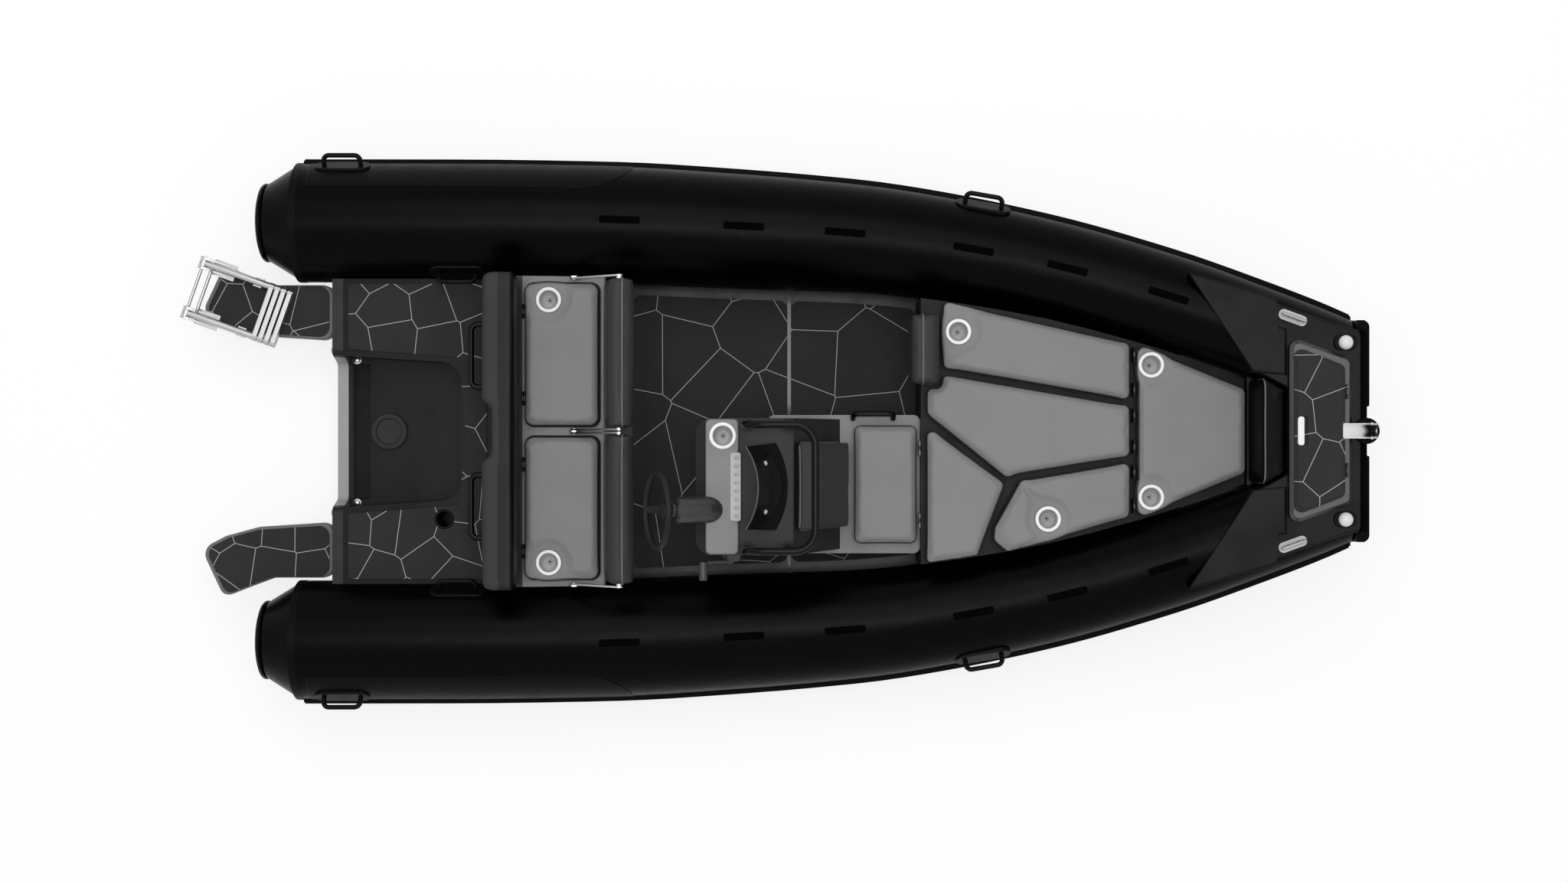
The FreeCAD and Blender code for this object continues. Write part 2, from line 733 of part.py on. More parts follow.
def onto_tube(shape, x, lift_deg, side):
    """Moves a piece drawn on the XY plane onto the skin of the tube."""
    place, normal, heading = tube_frame(x, lift_deg, side)
    across = normal.cross(heading)
    matrix = FreeCAD.Matrix(heading.x, across.x, normal.x, place.x,
                            heading.y, across.y, normal.y, place.y,
                            heading.z, across.z, normal.z, place.z,
                            0, 0, 0, 1)
    moved = shape.copy()
    moved.Placement = FreeCAD.Placement(matrix)
    return moved


def make_collar_fittings():
    end = GRAB_LENGTH / 2.0
    half = GRAB_WIDTH / 2.0
    outline = [(-end, -half), (end, -half), (end, half), (-end, half)]
    base = plate(outline, -half, GRAB_BASE, half)
    base = soften(base, level_edges(GRAB_BASE), GRAB_BASE / 2.0)
    post = GRAB_SPAN / 2.0
    grip = bent_rod([vec(-post, 0, 0), vec(-post, 0, GRAB_RISE), vec(post, 0, GRAB_RISE), vec(post, 0, 0)],
                    GRAB_BEND, GRAB_GRIP_RADIUS)
    handle = base.fuse(grip).removeSplitter()
    grabs = []
    for along, lift, side in GRAB_SHARES:
        x = along * HULL_LENGTH
        grabs.append(onto_tube(handle, x, lift, side).cut(TUBE_BED))
    save("grab_handles", Part.makeCompound([pair(grab) for grab in grabs]))
    long = STRAP_LENGTH / 2.0
    wide = STRAP_WIDTH / 2.0
    outline = [(-long, -wide), (long, -wide), (long, wide), (-long, wide)]
    strap = plate(outline, -wide, STRAP_THICKNESS, wide / 2.0)
    straps = []
    for along in STRAP_SHARES:
        x = along * HULL_LENGTH
        straps.append(onto_tube(strap, x, 90.0, 1).cut(TUBE_BED))
    save("strap_handles", Part.makeCompound([pair(one) for one in straps]))


# Hull with its transom, cockpit and anchor locker
def hull_section(place):
    """Closed section of the hull across the boat, with two strakes a side."""
    keel = smooth_at(HULL_SHARES, place, 1) * KEEL_DEPTH
    chine = smooth_at(HULL_SHARES, place, 2) * CHINE_HALF
    chine_height = smooth_at(HULL_SHARES, place, 3) * KEEL_DEPTH
    top = smooth_at(HULL_SHARES, place, 4) * BOW_BED_HEIGHT
    flare = smooth_at(HULL_SHARES, place, 5)
    strake = smooth_at(HULL_SHARES, place, 6) * STRAKE_WIDTH
    slope = (chine_height - keel) / chine
    half = [(0.0, keel)]
    for share in STRAKE_PLACE_SHARES:
        start = share * (chine - strake)
        height = keel + slope * start
        half += [(start, height), (start + strake, height), (start + strake, height + slope * strake)]
    half += [(chine, chine_height), (chine + flare * CHINE_FLAT, chine_height),
             (chine + flare * SIDE_FLARE, top)]
    points = half + [(-y, z) for y, z in reversed(half[1:])]
    places = [vec(place * HULL_LENGTH, y, z) for y, z in points]
    return Part.makePolygon(places + [places[0]])


def hull_form():
    """The hull's outside as one solid."""
    shares = even_shares(HULL_SHARES[0][0], HULL_SHARES[-1][0], HULL_SECTIONS)
    return Part.makeLoft([hull_section(share) for share in shares], True, False)


HULL_FORM = hull_form()


def lounge_outline(aft, fore, gap, steps):
    """Outline between the tubes over a stretch of the boat."""
    half = []
    for step in range(steps + 1):
        x = aft + (fore - aft) * step / steps
        half.append((x, inner_line(x) + gap))
    return both_sides(half)


COCKPIT_STEPS = 12


def cockpit_plan(gap, low):
    """The cockpit's well, grown by a gap."""
    return plate(lounge_outline(TRANSOM_THICKNESS, FLOOR_LENGTH, LEDGE_WIDTH + gap, COCKPIT_STEPS), low,
                 HULL_LENGTH)


def anchor_locker(low):
    """The anchor locker's space, from a height upwards."""
    half = [(LOCKER_AFT, LOCKER_AFT_HALF), (LOCKER_AFT + LOCKER_LENGTH, LOCKER_FORE_HALF)]
    return plate(both_sides(half), low, HULL_LENGTH, PAD_CORNER)


def transom_board():
    deck = DECK_HEIGHT - MOTOR_CUT_HEIGHT
    half = [(WELL_FORE_HALF, MOTOR_CUT_HEIGHT), (WELL_AFT_HALF, DECK_HEIGHT), (TUBE_SPREAD, DECK_HEIGHT),
            (TUBE_SPREAD, 0.0)]
    outline = half + [(-y, z) for y, z in reversed(half)]
    wire = rounded_wire(outline, deck / 4.0)
    face = Part.Face(wire)
    face.Placement = FreeCAD.Placement(vec(0, 0, 0), ACROSS_BOAT)
    return face.extrude(vec(TRANSOM_THICKNESS, 0, 0))


def make_hull():
    top = block(-OVERRUN, HULL_LENGTH + OVERRUN, -TUBE_SPREAD, TUBE_SPREAD, BOW_BED_HEIGHT, HULL_LENGTH)
    cockpit = cockpit_plan(0.0, FLOOR_HEIGHT)
    peak = plate(lounge_outline(FLOOR_LENGTH - SEAM_INSET, WELL_LENGTH, LEDGE_WIDTH, 4),
                 BOW_FLOOR_HEIGHT, HULL_LENGTH)
    locker = anchor_locker(LOCKER_FLOOR)
    shell = HULL_FORM.cut([top, cockpit, peak])
    shell = shell.fuse(transom_board())
    pad_high = MOTOR_CUT_HEIGHT - MOTOR_PAD_DROP
    pad = block(-MOTOR_PAD_THICKNESS, SEAM_INSET, -MOTOR_PAD_HALF, MOTOR_PAD_HALF,
                pad_high - MOTOR_PAD_HEIGHT, pad_high)
    shell = clear_of_tubes(shell).fuse(pad).cut(locker)
    save("hull", largest(shell).removeSplitter())


# Aft deck with the motor well
def make_aft_deck():
    aft = TRANSOM_THICKNESS + SEAT_GAP
    low = FLOOR_HEIGHT + SEAT_GAP
    body = block(aft, DECK_LENGTH - SEAT_GAP, -TUBE_SPREAD, TUBE_SPREAD, low, DECK_HEIGHT)
    well = plate(both_sides([(aft - WELL_CORNER, WELL_AFT_HALF), (WELL_END, WELL_FORE_HALF)]), WELL_FLOOR,
                 DECK_HEIGHT + OVERRUN, WELL_CORNER)
    slot = block(aft - OVERRUN, aft + WELL_SLOT, -WELL_FORE_HALF, WELL_FORE_HALF, WELL_SLOT_FLOOR,
                 DECK_HEIGHT)
    socket = rod(vec(SOCKET_FORWARD, -SOCKET_OFFSET, DECK_HEIGHT - SOCKET_DEPTH),
                 vec(SOCKET_FORWARD, -SOCKET_OFFSET, DECK_HEIGHT + OVERRUN), SOCKET_RADIUS)
    body = clear_of_tubes(body.common(cockpit_plan(-SEAT_GAP, 0.0)))
    body = body.cut([well, slot, socket])
    save("aft_deck", body)
    rise = [(0.0, 0.0), (HATCH_RADIUS, 0.0), (HATCH_RADIUS, HATCH_THICKNESS / 2.0),
            (HATCH_RADIUS - HATCH_THICKNESS / 2.0, HATCH_THICKNESS), (HATCH_RADIUS * 0.72, HATCH_THICKNESS),
            (HATCH_RADIUS * 0.66, HATCH_THICKNESS * 0.6), (0.0, HATCH_THICKNESS * 0.6)]
    save("well_hatch", turned(rise, vec(HATCH_FORWARD, 0, WELL_FLOOR + SEAT_GAP), vec(0, 0, 1)))
    side = inner_line(TRANSOM_THICKNESS) - PAD_MARGIN / 2.0
    outline = [(aft + PAD_MARGIN, WELL_AFT_HALF + PAD_MARGIN), (WELL_END, WELL_FORE_HALF + PAD_MARGIN),
               (WELL_END + PAD_MARGIN, 0.0), (COAMING_AFT - PAD_MARGIN, 0.0),
               (COAMING_AFT - PAD_MARGIN, side), (aft + PAD_MARGIN, side)]
    port = plate(outline, DECK_HEIGHT + SEAT_GAP, DECK_HEIGHT + SEAT_GAP + PAD_THICKNESS, PAD_CORNER / 3.0)
    pad = clear_of_tubes(port.fuse(mirrored(port)).removeSplitter())
    ring = rod(vec(SOCKET_FORWARD, -SOCKET_OFFSET, 0), vec(SOCKET_FORWARD, -SOCKET_OFFSET, COAMING_TOP),
               SOCKET_RADIUS + SEAT_GAP)
    add_to("deck_pads", pad.cut(ring))


def make_coaming():
    fore = COAMING_AFT + COAMING_DEPTH
    low = DECK_HEIGHT + SEAT_GAP
    outline = [(COAMING_AFT, low), (DECK_LENGTH - SEAT_GAP, low), (DECK_LENGTH - SEAT_GAP, BENCH_TOP),
               (fore - COAMING_TOE, BENCH_TOP + CUSHION_THICKNESS), (fore, COAMING_TOE_TOP),
               (fore, COAMING_TOP), (COAMING_AFT, COAMING_TOP)]
    body = side_plate(outline, -COAMING_HALF, COAMING_HALF, COAMING_CREASE)
    plan = both_sides([(COAMING_AFT, COAMING_HALF), (fore + OVERRUN, COAMING_HALF)])
    body = body.common(plate(plan, 0, HULL_LENGTH, COAMING_CORNER))
    notch_half = COAMING_NOTCH_HALF
    notch = both_sides([(COAMING_AFT - OVERRUN, notch_half + COAMING_NOTCH_DEPTH),
                        (COAMING_AFT, notch_half + COAMING_NOTCH_DEPTH),
                        (COAMING_AFT + COAMING_NOTCH_DEPTH, notch_half)])
    body = body.cut(plate(notch, low - OVERRUN, HULL_LENGTH))
    crease_at = COAMING_AFT + COAMING_DEPTH * 0.66
    crease = side_plate([(crease_at - COAMING_CREASE, COAMING_TOP + COAMING_CREASE),
                         (crease_at, COAMING_TOP - COAMING_CREASE),
                         (crease_at + COAMING_CREASE, COAMING_TOP + COAMING_CREASE)],
                        -HULL_LENGTH, HULL_LENGTH)
    body = body.cut(crease)
    feet = []
    rails = []
    for side in (STERN_RAIL_INNER, STERN_RAIL_OUTER):
        seat = vec(COAMING_AFT - SEAT_GAP, side, STERN_RAIL_HEIGHT)
        feet.append(rod(seat, seat - vec(COAMING_CREASE, 0, 0), STERN_RAIL_FOOT))
    inner = STERN_RAIL_INNER
    outer = STERN_RAIL_OUTER
    at = COAMING_AFT - SEAT_GAP
    high = STERN_RAIL_HEIGHT
    path = [vec(at, inner, high), vec(at - STERN_RAIL_REACH, inner, high),
            vec(at - STERN_RAIL_REACH, outer, high), vec(at, outer, high)]
    rail = bent_rod(path, STERN_RAIL_BEND, STERN_RAIL_RADIUS)
    save("stern_coaming", clear_of_tubes(body))
    save("stern_rails", pair(rail.fuse(feet).removeSplitter()))


# Swim platforms, with the ladder folded forward on the port one
def platform_outline(share):
    """Outline of the port platform, drawn in towards its middle by a share."""
    places = [(-along * PLATFORM_LENGTH, across * PLATFORM_WIDTH) for along, across in PLATFORM_SHARES]
    centre_x = -PLATFORM_LENGTH / 2.0
    centre_y = 0.78 * PLATFORM_WIDTH
    return [(centre_x + (x - centre_x) * share, centre_y + (y - centre_y) * share) for x, y in places]


def make_platforms():
    low = PLATFORM_HEIGHT - PLATFORM_THICKNESS
    body = plate(platform_outline(1.0), low, PLATFORM_HEIGHT, PLATFORM_CORNER)
    front = block(-SEAT_GAP, OVERRUN, 0, HULL_LENGTH, -HULL_LENGTH, HULL_LENGTH)
    braces = []
    for share in BRACE_PLACE_SHARES:
        at = share * PLATFORM_WIDTH
        outline = [(0.0, low + SEAM_INSET), (-BRACE_REACH, low + SEAM_INSET), (0.0, low - BRACE_DEPTH)]
        braces.append(side_plate(outline, at - BRACE_THICKNESS / 2.0, at + BRACE_THICKNESS / 2.0))
    body = soften(body, level_edges(PLATFORM_HEIGHT), PLATFORM_THICKNESS / 5.0)
    body = body.fuse(braces).cut(front).cut(TUBE_BED)
    save("swim_platforms", pair(largest(body)))
    top = PLATFORM_HEIGHT + SEAT_GAP
    pad = plate(platform_outline(PLATFORM_PAD_SHARE), top, top + PAD_THICKNESS, PLATFORM_CORNER * 0.8)
    add_to("deck_pads", pair(pad.cut(TUBE_BED)))


LADDER_PLACE = FreeCAD.Placement(vec(-LADDER_AFT, LADDER_OFFSET, LADDER_HEIGHT),
                                 FreeCAD.Rotation(vec(0, 0, 1), -LADDER_TURN))


def ladder_bore_start(index):
    """Where the bore that takes a section starts, along the section outside it."""
    return index * LADDER_TREAD_PITCH / 2.0 + LADDER_PIVOT_RADIUS


def ladder_section(index):
    """One telescoped section: two rails and a tread, along X from the pivot."""
    radius = LADDER_RADII[index]
    start = ladder_bore_start(index) + RUN_GAP if index else 0.0
    tread = LADDER_RAIL + index * LADDER_TREAD_PITCH
    collar = LADDER_RADII[0] + LADDER_EAR_GAP
    section = block(tread, tread + LADDER_TREAD, -LADDER_HALF, LADDER_HALF, -LADDER_TREAD_HEIGHT / 2.0,
                    LADDER_TREAD_HEIGHT / 2.0)
    section = soften(section, level_edges(LADDER_TREAD_HEIGHT / 2.0), LADDER_TREAD / 8.0)
    for side in (-LADDER_HALF, LADDER_HALF):
        section = section.fuse(rod(vec(tread, side), vec(tread + LADDER_TREAD, side), collar))
        section = section.fuse(rod(vec(start, side), vec(tread + LADDER_TREAD, side), radius))
        if index == 0:
            eye = rod(vec(0, side - radius), vec(0, side + radius), radius + LADDER_EAR_GAP)
            section = section.fuse(eye)
            section = section.cut(rod(vec(0, side - OVERRUN), vec(0, side + OVERRUN),
                                      LADDER_PIVOT_RADIUS + RUN_GAP))
    for side in (-LADDER_HALF, LADDER_HALF):
        if index + 1 < len(LADDER_RADII):
            bore = rod(vec(ladder_bore_start(index + 1), side), vec(tread + OVERRUN, side),
                       LADDER_RADII[index + 1] + RUN_GAP)
            section = section.cut(bore)
    return section


def ladder_bracket():
    """Feet, ears and pins that carry the ladder, and the chocks that it lies on."""
    foot_low = PLATFORM_HEIGHT + PAD_THICKNESS + 2.0 * SEAT_GAP - LADDER_HEIGHT
    foot_high = foot_low + LADDER_FOOT_THICKNESS
    parts = []
    reach = LADDER_RADII[0] + LADDER_EAR_GAP + RUN_GAP
    for side in (-LADDER_HALF, LADDER_HALF):
        wing = reach + 2.0 * LADDER_EAR_THICKNESS
        foot = block(LADDER_EAR_RADIUS * 2.0, LADDER_FOOT, side - wing, side + wing, foot_low, foot_high)
        outline = [(LADDER_FOOT * 0.8, foot_low), (-LADDER_EAR_RADIUS * 0.6, foot_low),
                   (-LADDER_EAR_RADIUS, LADDER_EAR_RADIUS * 0.4), (0.0, LADDER_EAR_RADIUS),
                   (LADDER_EAR_RADIUS, LADDER_EAR_RADIUS * 0.7), (LADDER_FOOT * 0.8, foot_high)]
        for near in (side - reach - LADDER_EAR_THICKNESS, side + reach):
            ear = side_plate(outline, near, near + LADDER_EAR_THICKNESS, LADDER_EAR_RADIUS / 3.0)
            foot = foot.fuse(ear)
        pin = reach + LADDER_EAR_THICKNESS * 1.4
        foot = foot.fuse(rod(vec(0, side - pin), vec(0, side + pin), LADDER_PIVOT_RADIUS))
        parts.append(foot.removeSplitter())
        chock = LADDER_RADII[0] * 1.4
        rest = block(LADDER_RAIL * 0.76, LADDER_RAIL * 0.88, side - chock, side + chock, foot_low,
                     -LADDER_RADII[0] * 0.6)
        saddle = rod(vec(0, side), vec(LADDER_RAIL, side), LADDER_RADII[0] + SEAT_GAP)
        parts.append(rest.cut(saddle))
    return Part.makeCompound(parts)


def make_ladder():
    bracket = ladder_bracket()
    bracket.Placement = LADDER_PLACE
    save("ladder_bracket", bracket)
    for index in range(len(LADDER_RADII)):
        section = ladder_section(index)
        section.Placement = LADDER_PLACE
        save("ladder_section_" + str(index + 1), section)


# Stern bench
BENCH_FORE = DECK_LENGTH + BENCH_DEPTH
SEAT_START = DECK_LENGTH + BENCH_SEAT_AFT
SEAT_END = SEAT_START + BENCH_SEAT_DEPTH
BENCH_AXIS = (SEAT_START - BENCH_HINGE_AHEAD, BENCH_TOP + BENCH_HINGE_RISE)
FLIP_PIVOT = (DECK_LENGTH + FLIP_PIVOT_AHEAD, BENCH_TOP + FLIP_PIVOT_RISE)


def cup_bodies(x, y, low, high):
    """A drink holder through a lid and its cushion: wall and floor, and the bore to cut."""
    rim = high + CUP_FLANGE_THICKNESS
    floor = rim - CUP_DEPTH
    wall = rod(vec(x, y, floor - CUP_WALL), vec(x, y, rim), CUP_BORE + CUP_WALL)
    flange = rod(vec(x, y, high), vec(x, y, rim), CUP_FLANGE)
    bore = rod(vec(x, y, floor), vec(x, y, rim + OVERRUN), CUP_BORE)
    return wall.fuse(flange), bore


def cup_hole(x, y):
    """The hole that a cushion or a lid leaves for a drink holder."""
    return rod(vec(x, y, 0), vec(x, y, HULL_LENGTH), CUP_BORE + CUP_WALL + SEAT_GAP)


def with_cups(lid, places, low, high):
    """A lid with its drink holders, which reach through the cushion that lies on it."""
    for x, y in places:
        wall, bore = cup_bodies(x, y, low, high)
        lid = lid.fuse(wall).cut(bore)
    return lid


def hinge_blocks(x, height, y, lid_edge, lid_low):
    """A knuckle that stands on the base between two knuckles that hang from the lid."""
    away = HINGE_LEAF if lid_edge < x else -HINGE_LEAF
    third = HINGE_WIDTH / 3.0
    fixed = rod(vec(x, y - third / 2.0, height), vec(x, y + third / 2.0, height), HINGE_RADIUS)
    fixed = fixed.fuse(block(min(x, x + away), max(x, x + away), y - third / 2.0, y + third / 2.0,
                             lid_low, height))
    moving = []
    for side in (-1.0, 1.0):
        near = y + side * (third / 2.0 + RUN_GAP)
        far = y + side * HINGE_WIDTH / 2.0
        low, high = min(near, far), max(near, far)
        knuckle = rod(vec(x, low, height), vec(x, high, height), HINGE_RADIUS)
        leaf = block(min(x, x - away), max(x, x - away), low, high, lid_low, height)
        reach = block(min(x, lid_edge), max(x, lid_edge), low, high, lid_low, lid_low + HINGE_LEAF)
        moving.append(knuckle.fuse([leaf, reach]))
    return fixed, moving


def make_bench():
    low = FLOOR_HEIGHT + SEAT_GAP
    body = block(DECK_LENGTH, BENCH_FORE, -TUBE_SPREAD, TUBE_SPREAD, low, BENCH_TOP)
    body = clear_of_tubes(body.common(cockpit_plan(-SEAT_GAP, 0.0)))
    on_top = level_edges(BENCH_TOP)
    body = soften(body, lambda edge: on_top(edge) and edge.BoundBox.XMin > BENCH_FORE - RUN_GAP,
                  BENCH_WALL / 2.0)
    side = inner_line(BENCH_FORE) - LOUNGE_WALL
    mouth = BENCH_MOUTH_MARGIN
    for flip in (1.0, -1.0):
        near, far = sorted((flip * BENCH_SEAT_INNER, flip * side))
        body = body.cut(block(DECK_LENGTH + BENCH_WALL, BENCH_FORE - BENCH_WALL, near, far,
                              low + BENCH_WALL, BENCH_TOP - BENCH_WALL))
        near, far = sorted((flip * (BENCH_SEAT_INNER + mouth), flip * (BENCH_SEAT_OUTER - mouth * 0.8)))
        outline = [(SEAT_START + mouth, near), (SEAT_END - mouth, near), (SEAT_END - mouth, far),
                   (SEAT_START + mouth, far)]
        body = body.cut(plate(outline, BENCH_TOP - OVERRUN, BENCH_TOP + OVERRUN, mouth / 2.0))
    save("bench_base", body)
    lid_low = BENCH_TOP + SEAT_GAP
    lid_high = lid_low + LID_THICKNESS
    pad_low = lid_high + SEAT_GAP
    pad_high = pad_low + CUSHION_THICKNESS
    outline = [(SEAT_START, BENCH_SEAT_INNER), (SEAT_END, BENCH_SEAT_INNER),
               (SEAT_END, BENCH_SEAT_OUTER), (SEAT_START, BENCH_SEAT_OUTER)]
    cup = (SEAT_START + CUP_FORWARD, CUP_OFFSET)
    lid = plate(outline, lid_low, lid_high, CUSHION_CORNER)
    lid = with_cups(lid, [cup], lid_low, pad_high + SEAT_GAP)
    posts = []
    width = BENCH_SEAT_OUTER - BENCH_SEAT_INNER
    for share in HINGE_PLACE_SHARES:
        fixed, moving = hinge_blocks(BENCH_AXIS[0], BENCH_AXIS[1], BENCH_SEAT_INNER + width * share,
                                     SEAT_START + SEAM_INSET, lid_low)
        posts.append(fixed)
        lid = lid.fuse(moving)
    cushion = plate(outline, pad_low, pad_high, CUSHION_CORNER).cut(cup_hole(*cup))
    cushion = soften(cushion, level_edges(pad_high), CUSHION_THICKNESS / 4.0)
    save("bench_lid_port", lid)
    save("bench_lid_starboard", mirrored(lid))
    save("bench_cushion_port", cushion)
    save("bench_cushion_starboard", mirrored(cushion))
    add_to("lid_hinges", Part.makeCompound([pair(post) for post in posts]))


def make_flip_backrests():
    pivot_x, pivot_z = FLIP_PIVOT
    bar_x = DECK_LENGTH + FLIP_BAR_AHEAD
    bar_z = BENCH_TOP + FLIP_BAR_RISE
    half_x = FLIP_BAR_DEPTH / 2.0
    half_z = FLIP_BAR_HEIGHT / 2.0
    inner = FLIP_INNER
    boss_end = BENCH_SEAT_INNER
    outer_boss = BENCH_SEAT_OUTER - SEAM_INSET
    outline = [(-half_x, -half_z), (half_x, -half_z), (half_x, half_z), (-half_x, half_z)]
    bar = side_plate(outline, boss_end + SEAT_GAP, outer_boss - SEAT_GAP, FLIP_BAR_CORNER)
    bar.rotate(vec(0, 0, 0), vec(0, 1, 0), FLIP_BAR_LEAN)
    bar.translate(vec(bar_x, 0, bar_z))
    save("flip_backrest_port", bar)
    save("flip_backrest_starboard", mirrored(bar))
    along = math.degrees(math.atan2(bar_z - pivot_z, bar_x - pivot_x))
    length = math.hypot(bar_z - pivot_z, bar_x - pivot_x)
    half = FLIP_ARM_WIDTH / 2.0
    arm_outline = [(-half, -half), (length + half, -half), (length + half, half), (-half, half)]
    arms = []
    for near, boss_near, boss_far in ((inner, inner, boss_end),
                                      (FLIP_OUTER, outer_boss, FLIP_OUTER + SEAM_INSET)):
        arm = side_plate(arm_outline, near, near + FLIP_ARM_THICKNESS, half)
        arm = arm.cut(rod(vec(0, near - OVERRUN), vec(0, near + OVERRUN), FLIP_PIN_RADIUS + RUN_GAP))
        arm.rotate(vec(0, 0, 0), vec(0, 1, 0), -along)
        arm.translate(vec(pivot_x, 0, pivot_z))
        boss = rod(vec(bar_x, boss_near, bar_z), vec(bar_x, boss_far, bar_z), half * 0.8)
        arms.append(arm.fuse(boss))
    save("flip_arms_port", Part.makeCompound(arms))
    save("flip_arms_starboard", mirrored(Part.makeCompound(arms)))
    foot = BENCH_TOP + SEAT_GAP
    wide = FLIP_POST_WIDTH / 2.0
    head = pivot_z + wide / 2.0
    post_outline = [(pivot_x - wide, foot), (pivot_x + wide, foot), (pivot_x + wide / 2.0, head),
                    (pivot_x - wide / 2.0, head)]
    half_plate = FLIP_POST_THICKNESS / 2.0
    centre = side_plate(post_outline, -half_plate, half_plate, wide / 3.0)
    reach = inner + FLIP_ARM_THICKNESS + SEAM_INSET / 2.0
    centre = centre.fuse(rod(vec(pivot_x, -reach, pivot_z), vec(pivot_x, reach, pivot_z), FLIP_PIN_RADIUS))
    near = FLIP_OUTER + FLIP_ARM_THICKNESS + RUN_GAP
    side = side_plate(post_outline, near, near + FLIP_POST_THICKNESS, wide / 3.0)
    side = side.fuse(rod(vec(pivot_x, FLIP_OUTER - SEAM_INSET / 2.0, pivot_z), vec(pivot_x, near, pivot_z),
                         FLIP_PIN_RADIUS))
    save("flip_posts", Part.makeCompound([centre, pair(side)]))


def make_floor_pads():
    start = BENCH_FORE + FLOOR_PAD_MARGIN * 3.0
    low = FLOOR_HEIGHT + SEAT_GAP
    split = console_x(FLOOR_PAD_SPLIT_AHEAD)
    pads = []
    for aft, fore in ((start, split), (split + FLOOR_PAD_JOINT, LOUNGE_AFT - SEAT_GAP)):
        outline = lounge_outline(aft, fore, -FLOOR_PAD_MARGIN, 4)
        pads.append(plate(outline, low, low + FLOOR_PAD_THICKNESS, FLOOR_PAD_CORNER))
    add_to("deck_pads", Part.makeCompound(pads).cut(console_footprint(RUN_GAP)))


# Steering console
def console_x(ahead):
    return CONSOLE_AFT + ahead


def console_band(aft, fore, half):
    return [(aft, CONSOLE_CENTRE - half), (fore, CONSOLE_CENTRE - half), (fore, CONSOLE_CENTRE + half),
            (aft, CONSOLE_CENTRE + half)]


def console_footprint(gap):
    """Plan of the console and its seat base, grown by a gap."""
    body = plate(console_band(CONSOLE_AFT + CONSOLE_KICK - gap, console_x(CONSOLE_BASE_START),
                              CONSOLE_HALF + gap), 0, HULL_LENGTH)
    base = plate(console_band(console_x(CONSOLE_BASE_START) - gap, console_x(CONSOLE_BASE_END) + gap,
                              CONSOLE_BASE_HALF + gap), 0, HULL_LENGTH)
    return body.fuse(base)


def console_body():
    low = FLOOR_HEIGHT + SEAT_GAP
    ledge = CONSOLE_SEAT_TOP + SEAT_GAP
    slope = BACKREST_LEAN / (BACKREST_TOP - BACKREST_FOOT)
    front = console_x(BACKREST_AHEAD) - SEAT_GAP
    base = console_x(CONSOLE_BASE_START) - SEAT_GAP
    kick = CONSOLE_AFT + CONSOLE_KICK
    outline = [(kick, low), (kick, low + CONSOLE_KICK_HEIGHT),
               (CONSOLE_AFT, low + CONSOLE_KICK_HEIGHT + CONSOLE_KICK_SLOPE),
               (CONSOLE_AFT, CONSOLE_DASH - CONSOLE_PANEL), (CONSOLE_AFT + CONSOLE_PANEL, CONSOLE_DASH),
               (front, CONSOLE_DASH), (front + slope * (CONSOLE_DASH - ledge), ledge), (base, ledge),
               (base, low)]
    body = side_plate(outline, CONSOLE_CENTRE - CONSOLE_HALF, CONSOLE_CENTRE + CONSOLE_HALF)
    plan = plate(console_band(CONSOLE_AFT, front + CONSOLE_DASH, CONSOLE_HALF), 0, HULL_LENGTH, BODY_CORNER)
    return body.common(plan)


def make_console():
    body = console_body()
    shelf_start = CONSOLE_AFT + CONSOLE_PANEL + SEAT_GAP
    shelf_end = shelf_start + CONSOLE_SHELF_LENGTH
    shelf_low = CONSOLE_DASH + SEAT_GAP
    shelf_high = shelf_low + CONSOLE_SHELF_THICKNESS
    cup = (console_x(SHELF_CUP_AHEAD), CONSOLE_CENTRE + SHELF_CUP_OFFSET)
    shelf = plate(console_band(shelf_start, shelf_end, CONSOLE_HALF - SEAM_INSET), shelf_low, shelf_high,
                  BODY_CORNER / 3.0)
    shelf = soften(shelf, level_edges(shelf_high), CONSOLE_SHELF_THICKNESS / 4.0)
    shelf = with_cups(shelf, [cup], shelf_low, shelf_high)
    body = body.cut(cup_hole(*cup))
    save("console_shelf", shelf)
    helm = make_helm(body, shelf)
    body = body.cut(helm)
    save("console_body", body)
    band = both_sides([(console_x(SWITCH_AHEAD), SWITCH_HALF),
                       (console_x(SWITCH_AHEAD + SWITCH_LENGTH), SWITCH_HALF)])
    panel = plate(band, shelf_high + SEAT_GAP, shelf_high + SEAT_GAP + SWITCH_THICKNESS,
                  SWITCH_LENGTH / 5.0)
    pitch = 2.0 * SWITCH_HALF / SWITCH_COUNT
    top = shelf_high + SEAT_GAP + SWITCH_THICKNESS
    middle = console_x(SWITCH_AHEAD + SWITCH_LENGTH / 2.0)
    for index in range(SWITCH_COUNT):
        at = (index - (SWITCH_COUNT - 1) / 2.0) * pitch
        wide = SWITCH_WIDTH / 2.0
        rocker = side_plate([(middle - wide, top - SEAM_INSET), (middle + wide, top - SEAM_INSET),
                             (middle + wide, top + SWITCH_RISE), (middle, top + SWITCH_RISE / 2.0),
                             (middle - wide, top + SWITCH_RISE / 4.0)], at - wide / 2.0, at + wide / 2.0)
        panel = panel.fuse(rocker)
    panel.translate(vec(0, CONSOLE_CENTRE, 0))
    save("switch_panel", panel.removeSplitter())
    make_screen()
    make_console_seat()
    make_throttle()


